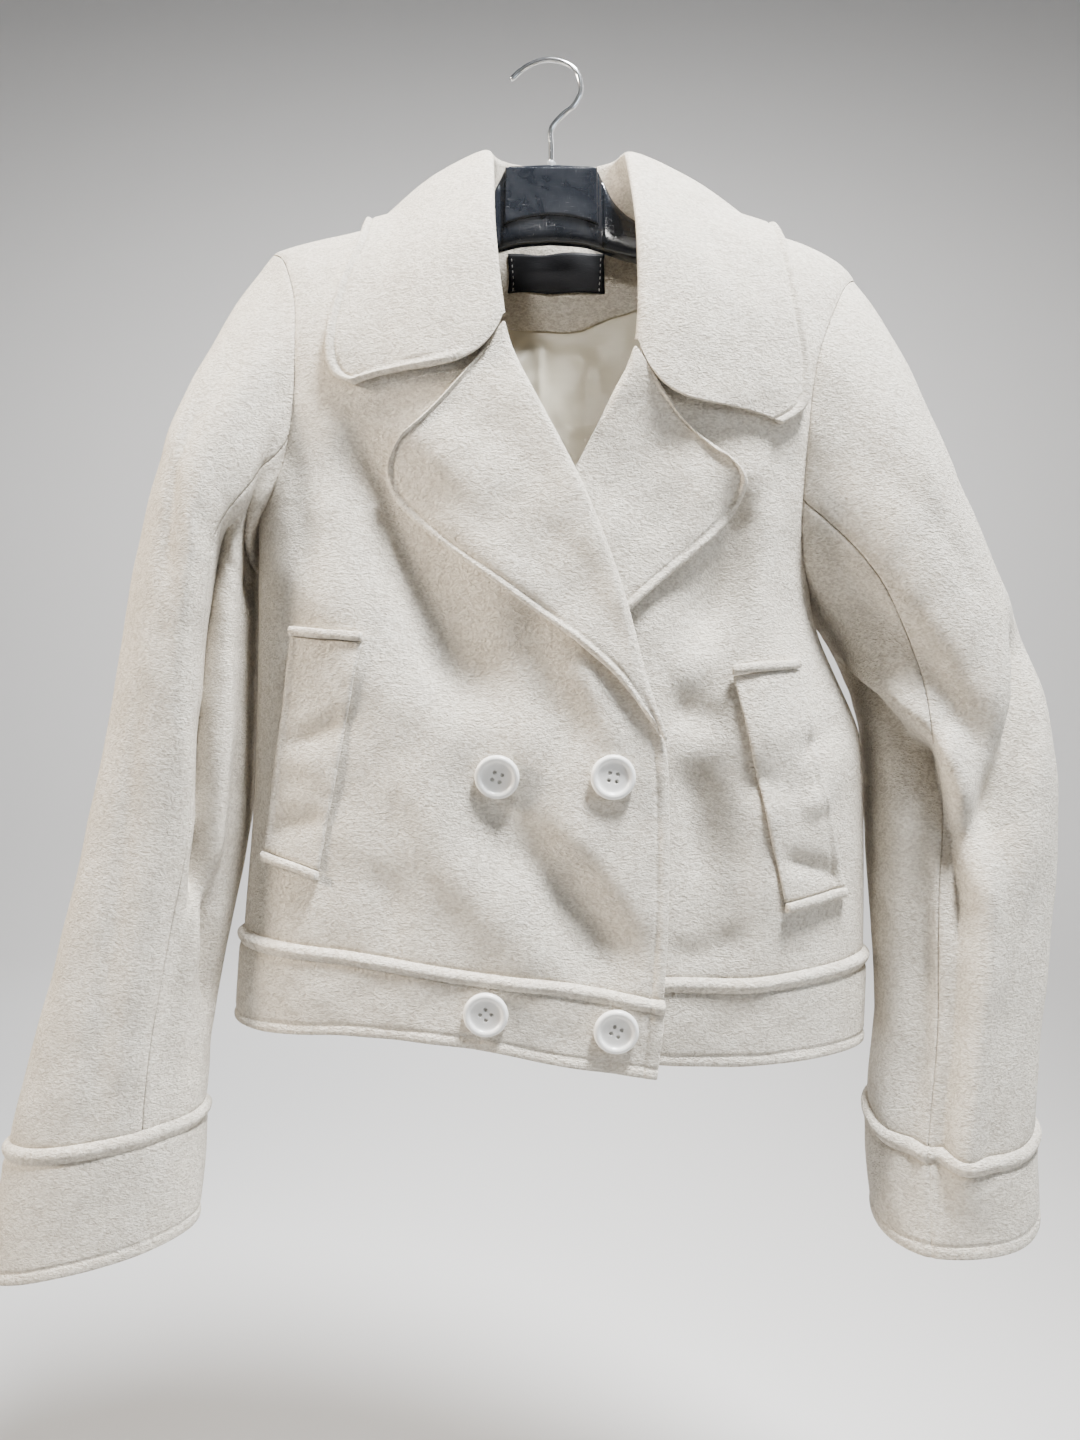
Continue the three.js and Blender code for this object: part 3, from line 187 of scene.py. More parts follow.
# Folds of the cloth: lines with a width, a depth along Y and a bow, which bends the line
# sideways at its middle. On the front a positive depth is a trough. A fold reaches past the
# ends of its line by a share of its length, and fades over another share.
FOLD_PAST, FOLD_FADE = 0.15, 0.4
FRONT_FOLDS = table(
    "x0 z0 x1 z1 width depth bow",
    (-135, -255, -62, -405, 26, 6, 0),
    (-150, -330, -120, -370, 16, -3, 0),
    (8, -500, 38, -560, 15, 3.5, 0),
    (-20, -500, 0, -560, 14, -2.5, 0),
    (105, -315, 80, -420, 20, 6, 0),
    (135, -350, 158, -430, 12, 5, 0),
    (82, -430, 90, -540, 16, 4, 0),
    (112, -380, 128, -540, 15, -3, 0),
    (-112, -250, -50, -412, 12, 7, 3),
    (-98, -262, -26, -420, 23, 13, 0),
    (-146, -262, -84, -430, 20, -4, 4),
    (-42, -448, 38, -554, 19, 8, 5),
    (2, -466, 58, -534, 12, -3.5, 3),
    (-78, -450, -12, -552, 14, -4, 5),
    (-14, -352, 15, -444, 14, 5, 2),
    (8, -380, 38, -438, 8, -4, -2),
    (-150, -262, -132, -352, 7, 3.2, -4),
    (-96, -500, -84, -548, 10, 2.7, -3),
    (-168, -400, -162, -540, 8, 3.2, 2),
    (-148, -436, -112, -420, 6, 3.5, 2),
    (-156, -486, -124, -474, 6, 3.5, -2),
    (104, -292, 84, -376, 14, 11, -5),
    (126, -300, 116, -372, 9, -4, 3),
    (66, -412, 98, -422, 9, 7, 3),
    (66, -394, 94, -388, 9, -4.5, 2),
    (78, -446, 84, -512, 13, 6.5, -3),
    (64, -552, 106, -540, 7, 4.6, 3),
    (106, -448, 140, -462, 9, 3.4, 2),
    (126, -498, 162, -510, 6, 4.1, -2),
    (136, -440, 172, -424, 7, 5.7, -2),
    (142, -472, 170, -440, 7, -4.6, 2),
    (140, -322, 160, -408, 8, 4.3, -4),
    (160, -500, 156, -552, 8, 2.7, 2),
    (100, -180, 140, -262, 12, -2.0, 6),
)


def across(x, z):
    """Place across the body at a height: 0 in the middle, 1 at either side."""
    left, right = torso_left(z), torso_right(z)
    return np.minimum(np.abs((2 * x - left - right) / (right - left)), 1)


def roll_over(drop, reach):
    """Quarter round with which the cloth rolls over the shoulder ridge."""
    return np.sqrt(1 - (1 - clamp01(drop / reach)) ** 2)


def soft_ends(along, past, fade):
    """1 along a line and 0 beyond it, with a soft step past each end."""
    return ease((along + past) / fade) * ease((1 + past - along) / fade)


def fold_depth(folds, x, z):
    """Sum of the folds at a point, each a bowed line with a bell section and soft ends."""
    total = np.zeros(np.broadcast(x, z).shape)
    for x0, z0, x1, z1, width, depth, bow in zip(*folds.values()):
        dx, dz = x1 - x0, z1 - z0
        length = math.hypot(dx, dz)
        along = ((x - x0) * dx + (z - z0) * dz) / length**2
        q = clamp01(along)
        sideways = ((x - x0) * dz - (z - z0) * dx) / length - bow * np.sin(np.pi * q)
        from_line = np.hypot(sideways, (along - q) * length)
        total += depth * soft_ends(along, FOLD_PAST, FOLD_FADE) * bump(from_line / width)
    return total


# Unevenness of the hanging cloth: a few long waves of unlike lengths and directions
WAVES = table(
    "length turn height shift",
    (61, 0.35, 0.42, 0.3),
    (43, 1.25, 0.34, 1.9),
    (29, 2.3, 0.22, 4.1),
    (19, 0.9, 0.12, 2.6),
    (13.5, 1.9, 0.07, 5.2),
)


def unevenness(a, b):
    """Sum of sine waves over two lengths of the cloth."""
    total = 0
    for length, turn, height, shift in zip(*WAVES.values()):
        way = a * math.cos(turn) + b * math.sin(turn)
        total = total + height * np.sin(2 * math.pi * way / length + shift)
    return total


def body_y(x, z, full_y, power, folds, reach):
    """Half of the body's section at a height: an oval from side to side, moved along Y by its
    folds, which fade towards the sides, and rolled over the shoulder ridge."""
    t = across(x, z)
    oval = SIDE_Y + (full_y - SIDE_Y) * (1 - t**power) ** (1 / power)
    folded = oval + folds * (1 - t**SIDE_FADE)
    return RIDGE_Y + (folded - RIDGE_Y) * roll_over(shoulder_z(x) - z, reach)


def front_y(x, z):
    """The front of the body, whose folds lie inwards."""
    folds = fold_depth(FRONT_FOLDS, x, z) + unevenness(x, z)
    return body_y(x, z, torso_front(z), FRONT_POWER, folds, FRONT_REACH)


def unit(way):
    """A direction with a length of 1."""
    return way / np.maximum(np.linalg.norm(way, axis=-1, keepdims=True), 1e-12)


def surface_frame(surface, u, v, step=1e-4):
    """Points of a surface and its normals, from two short steps along it."""
    du = np.where(u + step > u.max(), -step, step)
    dv = np.where(v + step > v.max(), -step, step)
    point = surface(u, v)
    along_u = (surface(u + du, v) - point) * np.sign(du)[..., None]
    along_v = (surface(u, v + dv) - point) * np.sign(dv)[..., None]
    return point, unit(np.cross(along_u, along_v))


def raised(surface, lift):
    """The same surface moved out of its cloth by a lift that may vary over it."""

    def moved(u, v):
        """Each point moved along its own normal."""
        point, normal = surface_frame(surface, u, v)
        return point + normal * np.broadcast_to(lift(u, v), u.shape)[..., None]

    return moved


def in_scene(name, data):
    """A new object for a mesh, a lamp or a camera, linked to the scene."""
    made = bpy.data.objects.new(name, data)
    bpy.context.scene.collection.objects.link(made)
    return made


def smooth_mesh(name, vertices, faces, material):
    """A smooth mesh from millimetre points."""
    mesh = bpy.data.meshes.new(name)
    mesh.from_pydata((np.asarray(vertices) * MM).tolist(), [], faces)
    mesh.polygons.foreach_set("use_smooth", [True] * len(mesh.polygons))
    mesh.materials.append(material)
    return in_scene(name, mesh)


def piece_of(name, vertices, faces, slot, material, replaced=(), levels=0):
    """A smooth piece that rides on the one body, for the nodes that it replaces. Its slot is not used.
    """
    made = smooth_mesh(name, vertices, faces, material)
    if levels:
        soft = made.modifiers.new("smooth", "SUBSURF")
        soft.levels = soft.render_levels = levels
    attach(made, "root")
    if replaced:
        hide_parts(*replaced)
    return made


def grid_faces(nu, nv, closed, first=0, flip=False):
    """Quads of a grid of nv rows of nu points; a closed grid joins its last column to its first."""
    i, j = np.meshgrid(np.arange(nu if closed else nu - 1), np.arange(nv - 1))
    a, b = first + j * nu + i, first + j * nu + (i + 1) % nu
    quads = np.stack([a, b, b + nu, a + nu], -1).reshape(-1, 4)
    return quads[:, ::-1] if flip else quads


def reach_of(point):
    """How far each point of a grid lies from the grid's four edges, along its rows and columns."""
    across_u = np.linalg.norm(np.diff(point, axis=1), axis=-1).cumsum(1)
    down_v = np.linalg.norm(np.diff(point, axis=0), axis=-1).cumsum(0)
    left = np.concatenate([np.zeros_like(across_u[:, :1]), across_u], 1)
    top = np.concatenate([np.zeros_like(down_v[:1]), down_v], 0)
    return {"point": point, "left": left, "right": left[:, -1:] - left,
            "top": top, "bottom": top[-1:] - top}


def wall(name, surface, us, vs, half, material, slot="wool", closed=False, levels=1, kind="_cloth"):
    """A wall of cloth that stands for a node: its faces lie half a thickness to each side of a
    surface of two parameters."""
    u, v = np.meshgrid(us, vs)
    point, normal = surface_frame(surface, u, v)
    thick = np.broadcast_to(half(reach_of(point)) if callable(half) else half, u.shape)[..., None]
    nv, nu = u.shape
    count = nu * nv
    faces_at = (point + normal * thick, point - normal * thick)
    vertices = np.concatenate([face.reshape(-1, 3) for face in faces_at])
    quads = [grid_faces(nu, nv, closed), grid_faces(nu, nv, closed, count, flip=True)]
    i = np.arange(nu if closed else nu - 1)
    b, top = (i + 1) % nu, (nv - 1) * nu
    quads.append(np.stack([i, count + i, count + b, b], -1))
    quads.append(np.stack([top + i, top + b, count + top + b, count + top + i], -1))
    if not closed:
        a = np.arange(nv - 1) * nu
        z = a + nu - 1
        quads.append(np.stack([a, a + nu, count + a + nu, count + a], -1))
        quads.append(np.stack([z, count + z, count + z + nu, z + nu], -1))
    quads = np.concatenate(quads).tolist()
    return piece_of(name + kind, vertices, quads, slot, material, [name], levels)


class Wire:
    """A socket that takes part in sums: an expression on such values adds its Math nodes."""

    def __init__(self, finish, socket):
        self.finish, self.socket = finish, socket

    def math(self, operation, *values):
        """A Math node on any values."""
        settings = {"operation": operation}
        return self.finish.node("Math", settings, dict(enumerate(values)))

    def __add__(self, other):
        return self.math("ADD", self, other)

    def __sub__(self, other):
        return self.math("SUBTRACT", self, other)

    def __rsub__(self, other):
        return self.math("SUBTRACT", other, self)

    def __mul__(self, other):
        return self.math("MULTIPLY", self, other)

    __radd__, __rmul__ = __add__, __mul__


class Finish:
    """A material with one Principled shader; node() adds any node, and sets what is given."""

    def __init__(self, name, **constants):
        self.material = bpy.data.materials.new(name)
        self.material.use_nodes = True
        self.tree = self.material.node_tree
        self.shader = self.tree.nodes["Principled BSDF"]
        for socket, value in constants.items():
            self.put(self.shader, {socket.replace("_", " "): value})

    def put(self, node, sockets):
        """Links or values for a node's sockets."""
        for socket, value in sockets.items():
            if isinstance(value, Wire):
                self.tree.links.new(value.socket, node.inputs[socket])
            else:
                node.inputs[socket].default_value = value

    def node(self, kind, settings=None, sockets=None, output=0):
        """Any node: its settings first, a ramp's stops among them, then its sockets."""
        made = self.tree.nodes.new("ShaderNode" + kind)
        for name, value in (settings or {}).items():
            if name == "stops":
                ramp = made.color_ramp.elements
                for stop, (place, colour) in enumerate(value):
                    element = ramp[stop] if stop < 2 else ramp.new(place)
                    element.position, element.color = place, (*colour, 1)
            else:
                setattr(made, name, value)
        self.put(made, sockets or {})
        return Wire(self, made.outputs[output])

    def place(self):
        """The piece's own coordinates, in metres."""
        return self.node("TexCoord", output="Object")

    def grain(self, place, size, detail=2.0, stretch=(1, 1, 1), **more):
        """Noise whose grains are about a size across, in millimetres, longer where stretch is more."""
        scale = [1 / (size * MM * s) for s in stretch]
        mapped = self.node("Mapping", None, {"Vector": place, "Scale": scale})
        sockets = {"Vector": mapped, "Scale": 1.0, "Detail": detail, **more}
        return self.node("TexNoise", None, sockets)

    def blend(self, share, a, b):
        """Colour between two colours."""
        return self.node("Mix", {"data_type": "RGBA"}, {0: share, 6: a, 7: b}, output=2)

    def bumped(self, height, distance, strength=1.0):
        """Height in its own units, times a distance in millimetres, as a normal."""
        sockets = {"Height": height, "Distance": distance * MM, "Strength": strength}
        return self.node("Bump", None, sockets, output="Normal")

    def set(self, **links):
        """The shader's sockets that vary, and the finished material."""
        self.put(self.shader, {name.replace("_", " "): wire for name, wire in links.items()})
        return self.material


def wool_finish():
    """Felted wool: a short brushed nap, mottled warm and cool, with grains that lie level."""
    wool = Finish("brushed_wool", Sheen_Weight=0.12, Sheen_Roughness=0.45, Sheen_Tint=(1, 0.97, 0.92, 1),
                  Specular_IOR_Level=0.2)
    place, level_grain = wool.place(), (1.4, 1.2, 0.9)
    fine = wool.grain(place, 1.3, 3, level_grain, Distortion=0.6)
    curl = wool.grain(place, 3.4, 3, level_grain, Distortion=1.4)
    patch = wool.grain(place, 21, 2)
    fibre = wool.grain(place, 0.5, 1, (4, 3, 0.8), Distortion=0.8)
    warm = wool.blend(patch, (0.75, 0.68, 0.56, 1), (0.74, 0.69, 0.605, 1))
    return wool.set(
        Base_Color=wool.blend(fine * 3.0 + curl * 2.4 - 2.15, (0.51, 0.45, 0.37, 1), warm),
        Roughness=curl * 0.1 + 0.86,
        Normal=wool.bumped(fine + curl + fibre * 0.5, 1.25),
    )


WOOL = wool_finish()
PIT_SHARE = 0.43
GORGE_RIGHT, GORGE_LEFT = -203, -219
TIP_GAP, TIP_FADE, TIP_LEVEL = 0.5, 10, 25
LAP_DEPTH, LAP_EDGE, LAP_FADE, LAP_TOP, LAP_FALL = 8.5, 60, 60, -225, 55
FOLD_ROOM, BREAK_Z, BREAK_UP, BREAK_FADE, GORGE_FADE = 3.6, -432, 6, 30, 12
TOP_SHARE, LOW_POWER = 0.3, 6


class Side:
    """One side of the body: its armhole and side seam, as a share from the shoulder tip down."""

    def __init__(self, out, armhole, side_x, seam_z):
        self.out, self.side_x, self.seam_z = out, side_x, seam_z
        self.tip_z, self.pit_z = armhole["z"].max(), armhole["z"].min()
        self.front_x, self.back_x = column(armhole, "z", "front"), column(armhole, "z", "back")

    def edge(self, v, armhole_x):
        """Down the armhole to the pit, then down the side to the hem seam."""
        down = mix(self.tip_z, self.pit_z, clamp01(v / PIT_SHARE))
        below = mix(self.pit_z, self.seam_z, clamp01((v - PIT_SHARE) / (1 - PIT_SHARE)))
        z = np.where(v <= PIT_SHARE, down, below)
        return np.where(v <= PIT_SHARE, armhole_x(z), self.side_x(z)), z

    def half_seam(self, z):
        """Half the gap between front and back, a little wider at the shoulder tip."""
        return SEAM / 2 + TIP_GAP * bump((z - self.tip_z) / TIP_FADE)


RIGHT = Side(-1, ARMHOLE_RIGHT, torso_left, HEM["seam"][0])
LEFT = Side(1, ARMHOLE_LEFT, torso_right, HEM_LEFT["seam"][-1])


def points(x, y, z):
    """Coordinates of any shapes, stacked into points."""
    return np.stack(np.broadcast_arrays(x, y, z), -1).astype(float)


def lap_depth(x, z):
    """How far the under front lies inwards where the over front laps it."""
    return LAP_DEPTH * (1 - ease((x - LAP_EDGE) / LAP_FADE)) * ease((LAP_TOP - z) / LAP_FALL)


def no_depth(x, z):
    """The over front lies where the body's section is."""
    return np.zeros(np.broadcast(x, z).shape)


def fold_share(z, gorge_z):
    """Share of the lapel's fold at a height: 1 between the gorge and the break."""
    return ease((z - BREAK_Z - BREAK_UP) / BREAK_FADE) * ease((gorge_z - z) / GORGE_FADE)


def front_panel(side, edge, hem, gorge_z, inward):
    """A front from its inner edge (u = 0) to the armhole and side seam, and from the shoulder
    down. Rows fade from the line of the shoulder above to that of the hem seam below."""
    edge_x, seam_z = column(edge, "z", "x"), column(hem, "x", "seam")
    neck_z = edge["z"].max()
    neck_x = edge_x(neck_z)
    tip_x = side.edge(np.array(0.0), side.front_x)[0]
    low_x, low_z = side.edge(np.array(1.0), side.front_x)
    hem_x = edge_x(seam_z(0))
    seam_at_edge = seam_z(hem_x) + SEAM

    def surface(u, v):
        """Between the inner and the outer edge at each height, on the front of the body."""
        ez = mix(neck_z, seam_at_edge, v)
        ex = edge_x(ez) + side.out * FOLD_ROOM * fold_share(ez, gorge_z)
        ox, oz = side.edge(v, side.front_x)
        x = mix(ex, ox, u)
        top = shoulder_z(mix(neck_x, tip_x, u)) - mix(neck_z, side.tip_z, u)
        low = seam_z(mix(hem_x, low_x, u)) + SEAM - mix(seam_at_edge, low_z, u)
        z = mix(ez, oz, u) + top * clamp01(1 - v / TOP_SHARE) ** 2 + low * v**LOW_POWER
        y = np.minimum(front_y(x, np.minimum(z, shoulder_z(x))), RIDGE_Y)
        return points(x, y + inward(x, z) - side.half_seam(z), z)

    return surface


def merged(*runs):
    """Several runs of steps as one, in order."""
    return np.unique(np.concatenate(runs))


def spread(count, *finer):
    """Even shares from 0 to 1 with finer runs of them put in."""
    return merged(np.linspace(0, 1, count + 1), *finer)


def rim(distance, stitch, puff, groove):
    """Extra half thickness at a turned edge: a roll with a puff's height, then the groove of the
    stitches, at their distance from the edge."""
    roll = puff * bump((distance - ROLL_AT * stitch) / (ROLL_WIDE * stitch))
    return roll - groove * bump((distance - stitch) / GROOVE_WIDE)


# Where each front's own edge is free, from the break of the lapel down, it is turned in and
# stitched. The rest of a front is a plain wall that dips into its side seam.
RIM_STEPS = np.array([1.2, 2.6, 4.2, 5.8, 6.6, 7.4, 8.4, 10, 13])
ROLL_AT, ROLL_WIDE, GROOVE_WIDE = 0.45, 0.42, 1.1
EDGE_RIM, FREE_UP, FREE_FADE = (7.0, 1.3, 0.9), 4, 14
SEAM_DIP, SEAM_REACH = 0.65, 2.0
FRONT_WIDTH = 240.0
armhole_rows = np.linspace(0, PIT_SHARE, 35) ** 1.6 / PIT_SHARE**0.6
panel_rows = spread(60, armhole_rows)
front_columns = spread(42, RIM_STEPS / FRONT_WIDTH, [0.985, 0.992, 0.997])


def plain_front(reach):
    """Half thickness of a front, less at its armhole and side seam."""
    return CLOTH / 2 - SEAM_DIP * bump(reach["right"] / SEAM_REACH)


def stitched_front(reach):
    """Half thickness of the over front, with a stitched rim where its edge is free."""
    free = ease((BREAK_Z + FREE_UP - reach["point"][..., 2]) / FREE_FADE)
    return plain_front(reach) + free * rim(reach["left"], *EDGE_RIM)


over_front = front_panel(RIGHT, EDGE_RIGHT, HEM, GORGE_RIGHT, no_depth)
under_front = front_panel(LEFT, EDGE_LEFT, HEM_LEFT, GORGE_LEFT, lap_depth)
cloth_right = wall("front_right", over_front, front_columns, panel_rows, stitched_front, WOOL)
cloth_left = wall("front_left", under_front, front_columns, panel_rows, plain_front, WOOL)

# Back panel. One piece of the same cloth, from both shoulder seams and the neck edge down to
# the hem band, with long soft folds where it hangs free below the shoulder blades.
BACK_FOLDS = table(
    "x0 z0 x1 z1 width depth bow",
    (-130, -240, -105, -480, 22, -5, 0),
    (120, -260, 95, -500, 20, -5, 0),
    (-20, -330, -30, -540, 26, -3.5, 0),
    (40, -380, 55, -540, 18, -3, 0),
    (-96, -210, -70, -400, 13, 4.6, 8),
    (98, -230, 66, -420, 12, 4.2, -7),
    (-60, -400, -66, -548, 11, 4.2, -4),
    (8, -340, 14, -548, 10, 4.4, 5),
    (84, -430, 92, -548, 10, 3.8, -3),
    (-146, -320, -140, -420, 8, 1.8, 4),
    (140, -360, 134, -470, 8, 1.8, -4),
    (-120, -470, -124, -552, 9, -1.5, 3),
    (-36, -170, 40, -176, 10, 2.0, -6),
)
NECK_BACK = table(
    "x z",
    (-58, -94), (-42, -97), (-20, -98.5), (6, -99), (32, -98.5), (54, -97), (70, -94),
)
neck_back_z = column(NECK_BACK, "x", "z")


def back_y(x, z):
    """The back of the body, where a fold of positive depth is a ridge."""
    folds = fold_depth(BACK_FOLDS, x, z) - unevenness(x + 40, z)
    return body_y(x, z, BACK_Y, BACK_POWER, folds, BACK_REACH)


def back_panel(u, v):
    """From the right side (u = 0) to the left, and from the shoulders and the neck down."""
    rx, rz = RIGHT.edge(v, RIGHT.back_x)
    lx, lz = LEFT.edge(v, LEFT.back_x)
    x = mix(rx, lx, u)
    top_x = mix(RIGHT.back_x(RIGHT.tip_z), LEFT.back_x(LEFT.tip_z), u)
    in_neck = (top_x > NECK_BACK["x"][0]) & (top_x < NECK_BACK["x"][-1])
    top = np.where(in_neck, neck_back_z(top_x), shoulder_z(top_x)) - mix(RIGHT.tip_z, LEFT.tip_z, u)
    z = mix(rz, lz, u) + top * clamp01(1 - v / PIT_SHARE) ** 2
    tip_z = np.where(u < 0.5, RIGHT.tip_z, LEFT.tip_z)
    least = mix(RIDGE_Y, SIDE_Y, ease((tip_z - z - TIP_LEVEL) / TIP_LEVEL))
    y = np.maximum(back_y(x, np.minimum(z, shoulder_z(x))), least)
    gap = np.where(u < 0.5, RIGHT.half_seam(z), LEFT.half_seam(z))
    return points(x, y + gap, z)


back_columns = (1 - np.cos(np.linspace(0, math.pi, 55))) / 2
cloth_back = wall("back", back_panel, back_columns, panel_rows, CLOTH / 2, WOOL)

# Hem bands. A doubled strip of the cloth sewn round the body's lower edge, whose seam turns
# down over it as a proud piped ridge. The lower edge is turned and stitched too.
BAND, BAND_LIFT, BAND_TUCK, BAND_HEIGHT = 3.2, 1.3, 1.2, 46.0
BAND_PIPING = ((1.9, 0.065, 0.05), (1.1, 0.16, 0.035), (3.2, 0, 0.045))
HEM_RIM, BAND_END_RIM = (6.0, 0.5, 0.7), (8.4, 0.5, 0.7)


def piping(down, roll, crease, tuck):
    """A piped seam across a strip: a rounded roll with a crease below it, and above it the end
    tucked in. Each has a height or depth, a place and a width."""
    height, place, width = zip(roll, crease, tuck)
    share = [(down - place[n]) / width[n] for n in range(3)]
    return height[0] * bump(share[0]) - height[1] * bump(share[1]) - height[2] * (1 - ease(share[2]))


def band_lift(v):
    """How far a band stands off the body, with its piped seam at the top."""
    return BAND_LIFT + piping(v, *BAND_PIPING)


def back_band_half(reach):
    """Half thickness of a band with a stitched lower edge."""
    return BAND / 2 + rim(reach["bottom"], *HEM_RIM)


def front_band_half(reach):
    """The same with a stitched front end."""
    return back_band_half(reach) + rim(reach["left"], *BAND_END_RIM)


def front_band(side, edge, hem, inward):
    """A band from the front edge (u = 0) to the side seam, and from the hem seam down."""
    edge_x = column(edge, "z", "x")
    seam_z, hem_z = column(hem, "x", "seam"), column(hem, "x", "hem")

    def flat(u, v):
        """The band's place on the body, before it is lifted."""
        mid = mix(seam_z(0), hem_z(0), v)
        x = mix(edge_x(mid), side.side_x(mid), u)
        z = mix(seam_z(x) + BAND_TUCK, hem_z(x), v)
        y = front_y(x, z) + inward(x, z) - (1 - across(x, z)) * SEAM - SEAM / 2
        return points(x, y, z)

    return raised(flat, lambda u, v: -side.out * band_lift(v))


def back_band(u, v):
    """A band from side seam to side seam."""
    rz = mix(HEM["seam"][0] + BAND_TUCK, HEM["hem"][0], v)
    lz = mix(HEM_LEFT["seam"][-1] + BAND_TUCK, HEM_LEFT["hem"][-1], v)
    x = mix(torso_left(rz), torso_right(lz), u)
    z = mix(rz, lz, u)
    return points(x, back_y(x, z) + SEAM / 2, z)


side_bunched = np.sin(np.linspace(0, math.pi / 2, 49))
band_columns = merged(side_bunched, RIM_STEPS / FRONT_WIDTH)
band_rows = merged(np.linspace(0, 0.24, 15), np.linspace(0.24, 1, 15), 1 - RIM_STEPS / BAND_HEIGHT)
band_right = wall("hem_band_front_right", front_band(RIGHT, EDGE_RIGHT, HEM, no_depth),
                  band_columns, band_rows, front_band_half, WOOL)
band_left = wall("hem_band_front_left", front_band(LEFT, EDGE_LEFT, HEM_LEFT, lap_depth),
                 band_columns, band_rows, front_band_half, WOOL)
band_back = wall("hem_band_back", raised(back_band, lambda u, v: band_lift(v)),
                 back_columns, band_rows, back_band_half, WOOL)

# Sleeves. Two pieces each, a top sleeve and an under sleeve, set into the armhole; the cloth
# breaks into slanting folds below the shoulder and at the elbow. Angles run round a sleeve:
# 0 is the outer side, 90 the front and 180 the underarm; k runs down it, from ring to ring.
SLEEVE_RIGHT = table(
    "k ix iz ox oz y half drop",
    (0, -172, -305, -174, -127.5, -36, 60, 0),
    (1, -175, -318, -192, -160, -37, 62, 0),
    (2, -176.5, -330, -207, -205, -38, 64, 0),
    (3, -177, -345, -219, -245, -38, 64, 0),
    (4, -177.5, -363, -231, -290, -39, 62, 0),
    (5, -178, -390, -243, -348, -40, 59, 0),
    (6, -178.5, -430, -254, -409, -42, 55, 0),
    (7, -181, -485, -270, -481, -46, 48, 0.05),
    (8, -191, -545, -286, -555, -52, 41, 0.1),
    (9, -199, -600, -300, -612, -57, 35, 0.1),
    (10, -202, -645, -312, -664, -60, 31, 0.1),
    (11, -207, -712, -323, -742, -63, 28, 0.1),
)
SLEEVE_LEFT = table(
    "k ix iz ox oz y half drop",
    (0, 155, -345, 193, -146.5, -36, 60, 0),
    (1, 159, -353, 198, -162, -37, 63, 0),
    (2, 166, -364, 211, -200, -38, 64, 0),
    (3, 174, -377, 230.5, -256, -39, 63, 0),
    (4, 181.5, -394, 250.5, -305, -41, 60, 0),
    (5, 188.5, -417, 272, -358, -43, 57, 0),
    (6, 191, -445, 290, -408, -45, 54, 0),
    (7, 191.5, -480, 297, -458, -48, 50, 0.05),
    (8, 193, -528, 292, -520, -52, 45, 0.15),
    (9, 194, -590, 284, -583, -58, 40, 0.25),
    (10, 188, -648, 279, -650, -63, 36, 0.35),
    (11, 191, -709, 279, -702, -66, 33, 0.35),
)
CUFF_AT = 10
CREASES_RIGHT = table(
    "a0 k0 a1 k1 width depth",
    (148, 1.2, 128, 5.2, 13, 9),
    (96, 1.5, 118, 6.5, 16, -5),
    (120, 5, 135, 9.5, 14, 5),
    (-110, 2, -130, 6, 16, 6),
    (132, 2.2, 126, 6.2, 6.5, 14),
    (124, 6.0, 134, 7.4, 7, 11),
    (134, 7.2, 174, 8.7, 8, 10),
    (118, 6.2, 126, 7.6, 7, -3),
    (147, 2.4, 142, 7.8, 7, -6),
    (104, 0.9, 141, 2.7, 8, -3),
    (114, 0.9, 170, 2.3, 10, 15),
    (166, 1.8, 168, 3.4, 8, 10),
    (60, 1.2, 84, 4.2, 8, 2.6),
    (74, 6.2, 92, 9.4, 9, 2.4),
    (30, 4.2, 52, 8.2, 10, -1.8),
    (150, 6.4, 158, 9.2, 8, 2.2),
    (-60, 1.8, -84, 5.4, 9, 2.6),
    (-100, 5.6, -84, 9.0, 10, 2.2),
    (-20, 3.0, -38, 7.4, 12, -1.8),
)
CREASES_LEFT = table(
    "a0 k0 a1 k1 width depth",
    (150, 2, 95, 6.2, 13, 7),
    (38, 5.3, 100, 7.25, 14, 17),
    (66, 7.3, 88, 8.6, 12, -3),
    (105, 6.5, 100, 10, 12, -4),
    (130, 6, 135, 10, 14, 6),
    (-120, 2, -95, 7, 16, 6),
    (168, 3.6, 112, 6.1, 8, -5.5),
    (112, 6.1, 92, 7.8, 7, -5),
    (90, 7.8, 94, 10.2, 7, -4),
    (184, 3.9, 130, 6.2, 8, 10),
    (128, 6.1, 108, 7.9, 7, 10),
    (106, 7.8, 110, 10.2, 7, 7),
    (96, 1.4, 70, 4.2, 9, 2.6),
    (20, 7.4, 40, 9.6, 9, -1.6),
    (-70, 2.4, -46, 6.8, 9, 2.6),
    (-110, 6.6, -100, 9.4, 10, 2.4),
    (-28, 4.4, -10, 8.4, 12, -1.8),
)
RING_POWER, RING_STEP, ANGLE_STEP, SLEEVE_WAVES = 0.92, 48, 0.9, 0.8
ARMHOLE_BLEND, ARMHOLE_GAP, PIT_GAP, PIT_ANGLE = 3.2, 0.2, 0.6, 60
CREASE_PAST, CREASE_FADE = 0.25, 0.35


